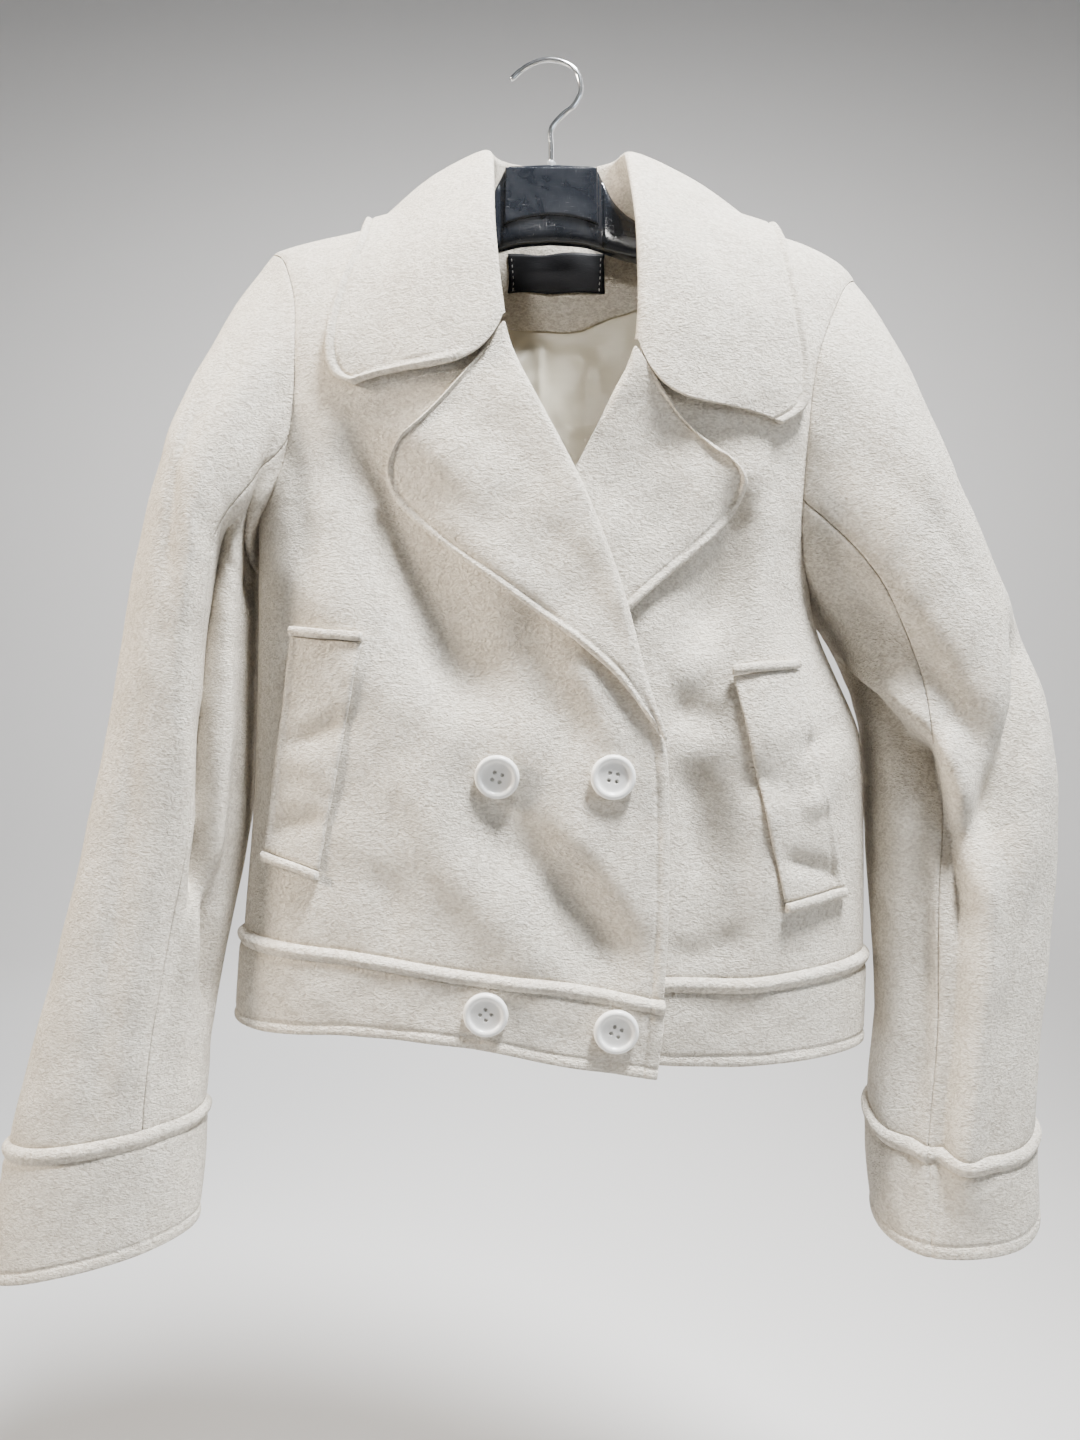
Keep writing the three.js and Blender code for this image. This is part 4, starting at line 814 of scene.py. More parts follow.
def sleeve(rows, side, creases):
    """A tube of rings. Each ring is an ellipse-like loop; near the armhole it blends into it.
    Creases run from one angle and ring to another, as deep as their bell curve says."""
    at = columns(rows, "k")

    def rounded(c):
        """A cosine or sine drawn a little towards a fuller oval."""
        return np.sign(c) * np.abs(c) ** RING_POWER

    def ring(a, k):
        """The free sleeve: an oval between its inner and outer point."""
        outward = (1 + rounded(np.cos(np.radians(a)))) / 2
        forward = at["half"](k) * rounded(np.sin(np.radians(a)))
        z = mix(at["iz"](k), at["oz"](k), outward) - at["drop"](k) * forward
        return points(mix(at["ix"](k), at["ox"](k), outward), at["y"](k) - forward, z)

    def armhole(a):
        """The armhole's loop on the front and on the back of the body."""
        z = mix(side.tip_z, side.pit_z, (1 - np.cos(np.radians(a))) / 2)
        is_front = np.sin(np.radians(a)) >= 0
        x = np.where(is_front, side.front_x(z), side.back_x(z))
        gap = ARMHOLE_GAP + PIT_GAP * bump((np.mod(a, 360) - 180) / PIT_ANGLE)
        y = np.where(is_front, front_y(x, z), back_y(x, z))
        return points(x + side.out * gap, y, z)

    def tube(a, k):
        """The ring blended from the armhole's loop, with the creases pushed to its middle."""
        fade = (1 - ease(k / ARMHOLE_BLEND))[..., None]
        p = ring(a, k) + (armhole(a) - ring(a, np.zeros_like(k))) * fade
        middle = points((at["ix"](k) + at["ox"](k)) / 2, at["y"](k), (at["iz"](k) + at["oz"](k)) / 2)
        inward = unevenness(a * ANGLE_STEP, k * RING_STEP) * SLEEVE_WAVES
        for a0, k0, a1, k1, width, depth in zip(*creases.values()):
            q = (k - k0) / (k1 - k0)
            turn = np.mod(a - mix(a0, a1, clamp01(q)) + 180, 360) - 180
            inward = inward + depth * soft_ends(q, CREASE_PAST, CREASE_FADE) * bump(turn / width)
        return p + unit(middle - p) * (inward[..., None] * (1 - fade))

    return tube


TOP_ANGLE = 120
BESIDE_DIP, TOP_DIP = 0.3, 0.6
CUFF_LIFT, CUFF_RIM, CUFF_LENGTH = 1.4, (7, 0.5, 0.7), 78.0
CUFF_PIPING = ((2.0, 0.05, 0.04), (1.2, 0.13, 0.028), (3.4, -0.012, 0.036))
CUFF_JOIN = {"right": 202, "left": 119}
CUFF_SEAM_DEPTH, CUFF_SEAM_WIDTH = 1.5, 1.1
SEAM_STEPS = np.array([-3.2, -1.6, -0.8, 0, 0.8, 1.6, 3.2])
sleeve_rows = np.linspace(0, CUFF_AT + 0.01, 80)
top_angles = np.concatenate([np.linspace(-TOP_ANGLE, 62, 32), np.linspace(66, TOP_ANGLE, 24)])
under_angles = np.concatenate([np.linspace(TOP_ANGLE, 176, 24), np.linspace(182, 360 - TOP_ANGLE, 12)])
cuff_rows = CUFF_AT + merged(np.linspace(-0.012, 0.26, 19), np.linspace(0.26, 1, 20),
                             1 - RIM_STEPS / CUFF_LENGTH)


def sewn_half(reach):
    """Half thickness of a piece that dips into its sewn edges."""
    beside = np.minimum(reach["left"], reach["right"])
    dips = BESIDE_DIP * bump(beside / SEAM_REACH), TOP_DIP * bump(reach["top"] / SEAM_REACH)
    return CLOTH / 2 - np.maximum(*dips)


def cuff_half(reach):
    """Half thickness of a cuff with a stitched lower edge."""
    return BAND / 2 + rim(reach["bottom"], *CUFF_RIM)


for name, rows, side, creases in (("right", SLEEVE_RIGHT, RIGHT, CREASES_RIGHT),
                                  ("left", SLEEVE_LEFT, LEFT, CREASES_LEFT)):
    tube = sleeve(rows, side, creases)
    top_cloth = wall("top_sleeve_" + name, tube, top_angles, sleeve_rows, sewn_half, WOOL)
    under_cloth = wall("under_sleeve_" + name, tube, under_angles, sleeve_rows, sewn_half, WOOL)

    def cuff(a, k, tube=tube, rows=rows, join=CUFF_JOIN[name]):
        """The sleeve's tube carried on, standing off it, with its piped and its upright seam."""
        p = tube(a, k)
        middle_x = (rows["ix"][-1] + rows["ox"][-1]) / 2
        middle = points(middle_x, (p[..., 1] + rows["y"][-1]) / 2, p[..., 2])
        lift = CUFF_LIFT + piping(k - CUFF_AT, *CUFF_PIPING)
        lift -= CUFF_SEAM_DEPTH * bump((a - join) / CUFF_SEAM_WIDTH)
        return p + unit(p - middle) * lift[..., None]

    cuff_angles = merged(np.linspace(0, 360, 49)[:-1], CUFF_JOIN[name] + SEAM_STEPS)
    cuff_cloth = wall("cuff_" + name, cuff, cuff_angles, cuff_rows, cuff_half, WOOL, closed=True)

# Collar. A stand at the neck, a soft roll and a wide fall that lies on the shoulders, of
# doubled cloth with turned and stitched edges and a rounded corner above each notch.
EDGE_X = {"right": column(EDGE_RIGHT, "z", "x"), "left": column(EDGE_LEFT, "z", "x")}
COLLAR_CLOTH, COLLAR_SEAM_GAP, COLLAR_RIM = 2.8, 2.9, (5.6, 1.4, 1.2)
COLLAR_BULGE, BULGE_AT = 6, 0.4
CREST_AT, DIP_SCALE, COLLAR_CLEAR, CLEAR_FROM = 1 / 3, 6.75, 4.2, 0.45
STAND_HIGH, STAND_FADE, STATION_STEP, FALL_STEP, COLLAR_WAVES = 38, 14, 30, 150, 0.7
COLLAR = table(
    "s seam cx cy cz ex ey ez dip",
    (0, -198, -26, -108, -201, -108, -98, -236.5, 13.5),
    (1, -192, -26.5, -108, -194, -120.5, -95, -229, 11),
    (2, -178, -28, -106, -180, -124, -90, -210, 3),
    (3, -148, -31, -96, -145, -119, -80, -178, 0),
    (4, -117, -32.5, -68, -108, -111, -56, -147, 0),
    (5, -100, -34.5, -32, -77, -110, -24, -122, 0),
    (6, -57, -37, -3, -60, -112, 2, -110.5, 0),
    (7, -42, -31, 18, -55, -98, 35, -128, 0),
    (8, -18, -14, 26, -55, -58, 38, -146, 0),
    (9, 6, 6, 28, -57, 6, 38, -150, 0),
    (10, 30, 27, 26, -56, 72, 38, -147, 0),
    (11, 54, 43, 18, -56, 118, 35, -130, 0),
    (12, 69, 49, -3, -61, 137, 2, -112, 0),
    (13, -100, 48.5, -32, -79, 138, -24, -128, 0),
    (14, -117, 48.5, -66, -110, 139, -56, -161, 0),
    (15, -150, 49.5, -96, -148, 142, -80, -196, 0),
    (16, -190, 50, -106, -188, 146, -90, -227, 3),
    (17, -207, 49.5, -108, -208, 143, -92, -247, 10),
    (18, -213, 49, -108, -215, 129, -96, -257.5, 17),
)
BACK_STATIONS = (6, 12)
LAST_STATION = 18


def collar_seam():
    """Where each station is sewn on: by height along a front, by x round the back of the neck."""
    s, at = COLLAR["s"], COLLAR["seam"]
    on_back = (s >= BACK_STATIONS[0]) & (s <= BACK_STATIONS[1])
    on_right = s < BACK_STATIONS[0]
    edge = np.where(on_right, EDGE_X["right"](at), EDGE_X["left"](at))
    x = np.where(on_back, at, edge + np.where(on_right, COLLAR_SEAM_GAP, -COLLAR_SEAM_GAP))
    z = np.where(on_back, neck_back_z(at) + 5 * SEAM, at)
    y = np.where(on_back, back_y(at, neck_back_z(at)), front_y(edge, at))
    return {"sx": x, "sy": y, "sz": z}


COLLAR.update(collar_seam())
collar_at = columns(COLLAR, "s")


def clear_of_body(p, gap):
    """Points moved out of the body where they are nearer than a clearance."""
    x, y, z = p[..., 0], p[..., 1], p[..., 2] - gap
    under = z < shoulder_z(x)
    front = np.minimum(y, front_y(x, np.minimum(z, shoulder_z(x))) - gap)
    back = np.maximum(y, back_y(x, np.minimum(z, shoulder_z(x))) + gap)
    moved = np.where(y < RIDGE_Y, front, back)
    return points(x, np.where(under, moved, y), p[..., 2])


def arch(q):
    """Parabola over a share: 1 at its middle and 0 at both ends."""
    return 4 * q * (1 - q)


def section(stops, v):
    """Smooth curve through its stops, with an equal share of v between each two. A stop's slope
    weighs the chords beside it by the root of their length."""
    run = np.stack([2 * stops[0] - stops[1], *stops, 2 * stops[-1] - stops[-2]])
    place = clamp01(v) * (len(stops) - 1)
    first = np.minimum(place.astype(int), len(stops) - 2)
    w = (place - first)[..., None]
    p0, p1, p2, p3 = (np.take_along_axis(run, (first + n)[None, ..., None], 0)[0] for n in range(4))
    d0, d1, d2 = (np.sqrt(np.linalg.norm(b - a, axis=-1, keepdims=True))
                  for a, b in ((p0, p1), (p1, p2), (p2, p3)))
    m1 = ((p1 - p0) / d0 - (p2 - p0) / (d0 + d1) + (p2 - p1) / d1) * d1
    m2 = ((p2 - p1) / d1 - (p3 - p1) / (d1 + d2) + (p3 - p2) / d2) * d1
    rise = p2 - p1
    return p1 + m1 * w + (3 * rise - 2 * m1 - m2) * w**2 + (m1 + m2 - 2 * rise) * w**3


def collar(u, v):
    """Round the neck from the right notch to the left, and from the seam up the stand, over the
    crest and down the fall, which bulges outwards and dips in its middle."""
    s = u * LAST_STATION
    seam, crest, edge = (points(*(collar_at[letter + axis](s) for axis in "xyz")) for letter in "sce")
    fall, stand = edge - crest, crest - seam
    share = (stand * fall).sum(-1, keepdims=True) / (fall * fall).sum(-1, keepdims=True)
    middle = crest + fall * BULGE_AT + unit(stand - fall * share) * COLLAR_BULGE
    p = section([seam, crest, middle, edge], v)
    q = clamp01((v - CREST_AT) / (1 - CREST_AT))
    p[..., 2] -= collar_at["dip"](s) * DIP_SCALE * q * (1 - q) ** 2
    p[..., 1] += unevenness(s * STATION_STEP, v * FALL_STEP) * COLLAR_WAVES * arch(q)
    return np.where((v > CLEAR_FROM)[..., None], clear_of_body(p, COLLAR_CLEAR), p)


def collar_half(reach):
    """Half thickness with a stitched rim along the outer edge and, past the roll, both ends."""
    outer = rim(reach["bottom"], *COLLAR_RIM)
    ends = rim(np.minimum(reach["left"], reach["right"]), *COLLAR_RIM)
    past_roll = ease((reach["top"] - STAND_HIGH) / STAND_FADE)
    return COLLAR_CLOTH / 2 + np.where(reach["bottom"] < reach["left"], outer, past_roll * ends)


COLLAR_LONG, COLLAR_WIDE = 900, 160
collar_columns = spread(96, RIM_STEPS / COLLAR_LONG, 1 - RIM_STEPS / COLLAR_LONG)
collar_rows = spread(33, 1 - RIM_STEPS / COLLAR_WIDE)
cloth_collar = wall("collar", collar, collar_columns, collar_rows, collar_half, WOOL)

# Lapels. The fronts folded out along the roll line, facing side up, with a soft roll at the
# fold and turned, stitched edges. The right one runs down to the break above the buttons.
LAPEL_RIGHT = table(
    "k ix iz ox oz sag",
    (0, -25, -205, -80, -265, 4.5),
    (1, -20, -219, -88.5, -277, 4),
    (2, -13, -234, -89.5, -287, 3),
    (3, -1, -257, -84, -301, 1),
    (4, 14, -286, -68, -317, 0),
    (5, 25, -311, -42, -337, 0),
    (6, 36, -340, -14, -358, 0),
    (7, 44, -367, 12, -377, 0),
    (8, 51, -394, 34, -396, 0),
    (9, 58.5, -419, 50, -415, 0),
    (10, 63, -432, 59, -427, 0),
)
LAPEL_LEFT = table(
    "k ix iz ox oz sag",
    (0, 47, -219, 98, -275.5, 7),
    (1, 42, -230, 107, -285, 5),
    (2, 36, -241, 108.5, -294, 3),
    (3, 24.5, -264, 100, -310, 1),
    (4, 12, -288, 82, -328, 0),
    (5, 0, -309, 60, -347, 0),
    (6, -12, -330, 36, -368, 0),
    (7, -24, -354, 10, -389, 0),
    (8, -36, -380, -14, -406, 0),
    (9, -48, -411, -40, -421, 0),
    (10, -53, -429, -50, -429, 0),
)
LAPEL_WAVES = table(
    "across down length shift height",
    (0.55, 1, 8.5, 0, 0.9),
    (0.3, -1, 13, 1, 0.54),
)
LAPEL_CLOTH = {"right": 2.4, "left": 2.0}
NOSE, NOSE_REACH, LEAST_FOLD, LAPEL_LIFT, LAPEL_BULGE = 0.06, 3.2, 0.08, 3.7, 3
EDGE_RISE, EDGE_FROM, RISE_WIDTH, BULGE_WIDTH, BULGE_REACH, RIPPLE = 1.8, 0.55, 50, 60, 0.2, 0.8
LAPEL_ROWS, LAPEL_RIM, NOTCH_REACH, LAPEL_WIDE = 10, (5.0, 1.4, 1.0), 9, 80
OUTER_FROM, OUTER_FADE, NOTCH_FROM, NOTCH_FADE = 6, 10, 18, 14


def lapel(rows, open_side, gorge_z, bulge, inward):
    """From the roll line (u = 0) out to the edge, from the gorge down to the break. The first
    share of u turns round the fold as a quarter circle."""
    at = columns(rows, "k")

    def surface(u, v):
        """Over the front by a lift that the fold takes away, down to the notch's sag."""
        k = v * LAPEL_ROWS
        fold = np.maximum(fold_share(at["iz"](k), gorge_z), LEAST_FOLD)
        turn = clamp01(u / NOSE) * math.pi / 2
        past = clamp01((u - NOSE) / (1 - NOSE))
        ix = at["ix"](k) - open_side * fold * (FOLD_ROOM - NOSE_REACH * np.cos(turn))
        x = mix(ix, at["ox"](k), past)
        z = mix(at["iz"](k), at["oz"](k), past) - at["sag"](k) * arch(past)
        width = np.hypot(at["ix"](k) - at["ox"](k), at["iz"](k) - at["oz"](k))
        roll = bulge(k) * bump(past / BULGE_REACH) * clamp01(width / BULGE_WIDTH)
        waves = sum(height * np.sin((x * across_it + z * down_it) / length + shift)
                    for across_it, down_it, length, shift, height in zip(*LAPEL_WAVES.values()))
        ripple = (unevenness(x * 0.9, z * 0.8 + 70) + waves) * RIPPLE * arch(past)
        tip = EDGE_RISE * ease((past - EDGE_FROM) / (1 - EDGE_FROM)) * clamp01(width / RISE_WIDTH)
        out = (LAPEL_LIFT + roll + ripple + tip) * (1 - fold * (1 - np.sin(turn)))
        return points(x, front_y(x, z) + inward(x, z) - out, z)

    return surface


def steady(k):
    """The over lapel bulges all along its fold."""
    return LAPEL_BULGE


def hidden_fade(k):
    """The under lapel lies flat where the over lapel covers it."""
    return LAPEL_BULGE * (1 - ease((k - 2) / 2))


lapel_columns = merged(np.linspace(0, NOSE, 7), np.linspace(NOSE, 1, 26), 1 - RIM_STEPS[:6] / LAPEL_WIDE)
lapel_rows = spread(54, [0.003, 0.006, 0.01, 0.014, 0.018, 0.022])
for name, rows, open_side, gorge_z, bulge, inward in (
    ("right", LAPEL_RIGHT, 1, GORGE_RIGHT, steady, no_depth),
    ("left", LAPEL_LEFT, -1, GORGE_LEFT, hidden_fade, lap_depth),
):
    def lapel_half(reach, name=name):
        """Half thickness with stitched rims at the outer edge and the notch, none at the fold."""
        outer = rim(reach["right"], *LAPEL_RIM) * ease((reach["left"] - OUTER_FROM) / OUTER_FADE)
        notch = rim(reach["top"], *LAPEL_RIM) * ease((reach["left"] - NOTCH_FROM) / NOTCH_FADE)
        corner = np.where(reach["right"] < reach["top"], outer, notch)
        return LAPEL_CLOTH[name] / 2 + np.where(reach["top"] < NOTCH_REACH, corner, outer)

    shape = lapel(rows, open_side, gorge_z, bulge, inward)
    cloth = wall("lapel_" + name, shape, lapel_columns, lapel_rows, lapel_half, WOOL)
    "front_%s_cloth" % name

# Pockets. Slanted welts of the same cloth, a little dented along their length, with a turned
# and stitched outer edge and a rolled bar across each end.
POCKETS = {
    "right": {"top": [(-142, -374), (-101, -379)], "low": [(-160, -495), (-126, -504)], "free": "left"},
    "left": {"top": [(100.5, -397), (138, -393)], "low": [(128, -521), (166, -515)], "free": "right"},
}
WELT_CLOTH, WELT_STAND, WELT_RIM, WELT_WIDE = 2.2, 2.6, (6.0, 0.45, 0.5), 38
WELT_DENTS = table(
    "place slant width depth",
    (0.36, 0.1, 0.07, 0.7),
    (0.56, 0, 0.1, -0.8),
    (0.8, 0.08, 0.07, 0.7),
)
BAR_HIGH, BAR_STAND, BAR_ROLL, BAR_EDGE, BAR_SWELL = 5, 2.9, 0.8, 0.4, 2.2
UPWARDS = np.array([0, 1])


def on_front(top, low, lift):
    """A patch of the front between two edges, moved out by a lift."""
    (a, b), (c, d) = np.array(top, float), np.array(low, float)

    def flat(u, v):
        """Straight from edge to edge, on the front of the body."""
        corner = mix(mix(a, b, u[..., None]), mix(c, d, u[..., None]), v[..., None])
        x, z = corner[..., 0], corner[..., 1]
        return points(x, front_y(x, z), z)

    return raised(flat, lambda u, v: -lift(u, v))


def welt_lift(u, v):
    """A welt stands off the front, but for its dents, which fade towards its long edges."""
    dents = sum(depth * bump((v - place - slant * u) / width)
                for place, slant, width, depth in zip(*WELT_DENTS.values()))
    return WELT_STAND - dents * np.sin(math.pi * clamp01(u)) ** 0.7


def bar_lift(u, v):
    """A bar is a roll: highest along its middle, a little uneven along its length."""
    return BAR_STAND + BAR_ROLL * np.sin(math.pi * v) + 0.3 * np.sin(5.1 * u + 1)


def bar_half(reach):
    """Half thickness of a bar: round across it."""
    share = reach["top"] / (reach["top"] + reach["bottom"])
    return BAR_EDGE + BAR_SWELL * np.sqrt(np.maximum(1 - (2 * share - 1) ** 2, 0))


for name, pocket in POCKETS.items():
    def welt_half(reach, free=pocket["free"]):
        """Half thickness of a welt with one stitched edge."""
        return WELT_CLOTH / 2 + rim(reach[free], *WELT_RIM)

    rim_shares = RIM_STEPS[:7] / WELT_WIDE
    welt_columns = spread(14, 1 - rim_shares if pocket["free"] == "right" else rim_shares)
    shape = on_front(pocket["top"], pocket["low"], welt_lift)
    welt = wall("pocket_welt_" + name, shape, welt_columns, spread(44), welt_half, WOOL)
    "front_%s_cloth" % name
    for end, upper, lower in (("top", SEAM + BAR_HIGH, SEAM), ("low", -SEAM, -SEAM - BAR_HIGH)):
        edges = (np.array(pocket[end]) + shift * UPWARDS for shift in (upper, lower))
        bar = wall("pocket_bar_%s_%s" % (end, name), on_front(*edges, bar_lift), spread(20), spread(9),
                   bar_half, WOOL)
        "front_%s_cloth" % name

# Buttons. Four moulded four-hole buttons, off-white, with a wide rounded rim and a dished
# middle, pressed lightly on the cloth by their thread.
BUTTONS = {
    "button_upper_outer": (-28, -451, CLOTH / 2, 0.35),
    "button_upper_inner": (34, -451.5, CLOTH / 2, 0.15),
    "button_lower_outer": (-34, -579, BAND_LIFT + BAND / 2, 0.75),
    "button_lower_inner": (36, -588, BAND_LIFT + BAND / 2, 0.47),
}
BUTTON_RADIUS, BUTTON_HEIGHT, BUTTON_CLEAR, BUTTON_REST, BUTTON_SIDES = 12.2, 4.2, 0.9, 8.0, 72
HOLE_SPREAD, HOLE_RADIUS, HOLE_DEPTH, HOLE_ROUND, HOLE_END = 2.1, 1.0, 2.2, 0.15, 4
BUTTON_PROFILE = table(
    "s r h",
    (0, 0, 0.52),
    (1, 0.3, 0.53),
    (2, 0.56, 0.57),
    (3, 0.68, 0.68),
    (4, 0.75, 0.90),
    (5, 0.84, 1.0),
    (6, 0.93, 0.93),
    (7, 0.99, 0.68),
    (8, 1.0, 0.42),
    (9, 0.96, 0.14),
    (10, 0.86, 0.0),
    (11, 0.5, 0.0),
    (12, 0.0, 0.0),
)


def button_finish():
    """Cast plastic: pale, faintly clouded, with a soft shine."""
    cast = Finish("cast_button", Roughness=0.28)
    cloud = cast.grain(cast.place(), 4.5, 3)
    return cast.set(
        Base_Color=cast.blend(cloud, (0.80, 0.775, 0.72, 1), (0.87, 0.855, 0.82, 1)),
        Normal=cast.bumped(cast.grain(cast.place(), 1.2, 2), 0.02, 0.4),
    )


BUTTON = button_finish()
button_at = columns(BUTTON_PROFILE, "s")
button_steps = merged(np.linspace(0, 1.25, 26), np.linspace(1.25, 12, 44))[1:-1]


def angles(count):
    """Even angles once round, in radians."""
    return np.linspace(0, 2 * math.pi, count + 1)[:-1]


def capped(rings, ends):
    """Points and faces of a tube of rings, closed by a fan round a middle point at each end."""
    rows, sides = rings.shape[:2]
    here = np.arange(sides)
    after, last, count = (here + 1) % sides, (rows - 1) * sides, rows * sides
    fans = [(after, here, np.full(sides, count)), (last + here, last + after, np.full(sides, count + 1))]
    faces = grid_faces(sides, rows, True).tolist()
    for fan in fans:
        faces += np.stack(fan, -1).tolist()
    return np.concatenate([rings.reshape(-1, 3), ends]), faces


def button(x, z, stand, turn):
    """Points and faces of a button: its profile turned round its middle, with four round holes
    let into the dish. It lies on the front's slope there, at a stand above the body."""
    slope_x = (front_y(x + BUTTON_REST, z) - front_y(x - BUTTON_REST, z)) / (2 * BUTTON_REST)
    slope_z = (front_y(x, z + BUTTON_REST) - front_y(x, z - BUTTON_REST)) / (2 * BUTTON_REST)
    outward = unit(np.array([slope_x, -1, slope_z]))
    side_way = unit(np.cross(outward, (0, 0, 1)))
    up_way = np.cross(side_way, outward)
    foot = np.array([x, front_y(x, z), z]) + outward * (stand + BUTTON_CLEAR)
    a, s = np.meshgrid(angles(BUTTON_SIDES), button_steps)
    r, h = button_at["r"](s) * BUTTON_RADIUS, button_at["h"](s) * BUTTON_HEIGHT
    px, pz = r * np.cos(a), r * np.sin(a)
    for hole in turn + math.pi / 4 + angles(4):
        cx, cz = math.sqrt(2) * HOLE_SPREAD * np.array([math.cos(hole), math.sin(hole)])
        from_rim = HOLE_RADIUS + HOLE_ROUND - np.hypot(px - cx, pz - cz)
        h = h - HOLE_DEPTH * ease(from_rim / (2 * HOLE_ROUND)) * (s < HOLE_END)
    rings = foot + px[..., None] * side_way + pz[..., None] * up_way + h[..., None] * outward
    return capped(rings, [foot + outward * button_at["h"](0) * BUTTON_HEIGHT, foot])


for name, place in BUTTONS.items():
    piece_of(name + "_cast", *button(*place), "button", BUTTON, [name])

# Inside the neck. A facing of the same cloth along the back's neck edge, a satin lining that
# falls from it with a pleat in its middle, and a plain woven label stitched on at both ends.
FACING_EDGE = table(
    "x z",
    (-52, -150), (-27, -161), (-4, -164), (12, -163.5), (32, -160), (64, -148),
)
facing_z = column(FACING_EDGE, "x", "z")
FACING_CLOTH, LINING_CLOTH, LABEL_CLOTH, LINED_GAP, FACING_DROP = 1.6, 1.2, 1.0, 1.8, 1.5
LINING_SIDE, LINING_HEM, LINING_LAP, LINING_SLACK = 128, -536, 4, 0.3
LABEL_LEFT, LABEL_RIGHT, LABEL_TOP, LABEL_LOW = -26, 37, -114, -140.5
PLEAT_X, PLEAT_WIDTH, PLEAT_DEPTH, PLEAT_TOP, PLEAT_LOW = -4, 4.2, 3.4, -168, -330
PLEAT_TOP_FADE, PLEAT_LOW_FADE, SLACK_FADE = 12, 60, 20
SCALLOP, SCALLOP_TURN, SCALLOP_FROM = 0.8, 17, 0.6
FACING_PUFF, PUFF_AT, PUFF_WIDE = 0.35, 2.2, 1.8
LINING_FOLDS = table(
    "x0 z0 x1 z1 width depth bow",
    (-14, -166, -30, -190, 2.6, 1.3, 1),
    (-24, -164, -44, -184, 2.4, 1.1, -1),
    (-34, -160, -54, -176, 2.8, 1.2, 1),
    (-12, -178, -34, -214, 4.5, 1.6, 3),
    (14, -176, 34, -206, 6.5, 3.2, -5),
    (40, -166, 26, -214, 5, -1.8, 4),
    (4, -212, 22, -232, 5.5, 1.6, 3),
    (-2, -236, 14, -262, 5, -1.6, -3),
    (50, -160, 62, -190, 3, 1.2, 2),
)


def facing_inset(v):
    """How far the facing lies inside the back, a little more below its sewn edge."""
    gap = mix(LINED_GAP + 1.5 * SEAM, 2 * LINED_GAP, ease(v / 0.5))
    return CLOTH / 2 + FACING_CLOTH / 2 + gap


def facing(u, v):
    """From side to side, and from the neck edge down to a faintly scalloped lower edge."""
    x = mix(FACING_EDGE["x"][0], FACING_EDGE["x"][-1], u)
    scallop = SCALLOP * np.sin(u * SCALLOP_TURN + 1) * ease((v - SCALLOP_FROM) / (1 - SCALLOP_FROM))
    z = mix(neck_back_z(x) - FACING_DROP, facing_z(x), v) + scallop
    return points(x, back_y(x, z), z)


def facing_half(reach):
    """Half thickness of the facing, with a turned lower edge."""
    return FACING_CLOTH / 2 + FACING_PUFF * bump((reach["bottom"] - PUFF_AT) / PUFF_WIDE)


def lining(u, v):
    """From side to side and from the facing down: inside the back, with a pleat and folds."""
    x = mix(-LINING_SIDE, LINING_SIDE, u)
    z = mix(facing_z(x) + LINING_LAP, LINING_HEM, v)
    fade = ease((PLEAT_TOP - z) / PLEAT_TOP_FADE) * ease((z - PLEAT_LOW) / PLEAT_LOW_FADE)
    pleat = PLEAT_DEPTH * fade * bump((x - PLEAT_X) / PLEAT_WIDTH)
    slack = LINING_SLACK * unevenness(x * 1.6, z * 1.3) * ease((PLEAT_TOP - z) / SLACK_FADE)
    inset = CLOTH / 2 + LINED_GAP + LINING_CLOTH / 2
    return points(x, back_y(x, z) - inset - pleat - fold_depth(LINING_FOLDS, x, z) - slack, z)


def label_place(u, v):
    """The label's place on the back, before it is moved inwards."""
    x, z = mix(LABEL_LEFT, LABEL_RIGHT, u), mix(LABEL_TOP, LABEL_LOW, v)
    return points(x, back_y(x, z), z)


def label_lift(u, v):
    """The label lies on the facing; its loose lower edge stands off a little at the middle."""
    top = neck_back_z(0) - FACING_DROP
    down = (mix(LABEL_TOP, LABEL_LOW, v) - top) / (facing_z(0) - top)
    loose = v**3 * np.sin(math.pi * clamp01(u)) ** 0.6
    return -(facing_inset(down) + FACING_CLOTH / 2 + 2 * SEAM + LABEL_CLOTH / 2 + loose)


def satin_finish():
    """Satin: smooth, with a soft gleam and a faint weave that runs across."""
    satin = Finish("lining_satin", Sheen_Weight=0.25, Sheen_Roughness=0.3, Anisotropic=0.35)
    place = satin.place()
    weave = satin.grain(place, 0.5, 1, (5, 1, 0.7))
    slub = satin.grain(place, 7, 2, (3, 1, 1))
    return satin.set(
        Base_Color=satin.blend(slub, (0.68, 0.62, 0.48, 1), (0.78, 0.72, 0.58, 1)),
        Roughness=slub * 0.1 + 0.33,
        Normal=satin.bumped(weave + slub * 0.6, 0.12, 0.5),
    )


def label_finish():
    """Black ribbon, woven close, ribbed along its length."""
    ribbon = Finish("black_ribbon", Specular_IOR_Level=0.15)
    rib = ribbon.grain(ribbon.place(), 0.45, 1, (6, 1, 0.8))
    return ribbon.set(
        Base_Color=ribbon.blend(rib, (0.004, 0.004, 0.005, 1), (0.012, 0.012, 0.014, 1)),
        Roughness=rib * 0.15 + 0.42,
        Normal=ribbon.bumped(rib, 0.15, 0.6),
    )


facing_cloth = wall("back_neck_facing", raised(facing, lambda u, v: -facing_inset(v)),
                    spread(34), spread(20), facing_half, WOOL)
lining_columns = spread(48, np.linspace(0.40, 0.60, 50))
lining_rows = spread(44, np.linspace(0, 0.28, 44))
lining_cloth = wall("lining_back", lining, lining_columns, lining_rows, LINING_CLOTH / 2,
                    satin_finish(), slot="satin", levels=0)
label = raised(label_place, label_lift)
label_cloth = wall("neck_label", label, spread(36), spread(16), LABEL_CLOTH / 2, label_finish(),
                   slot="label", levels=0)

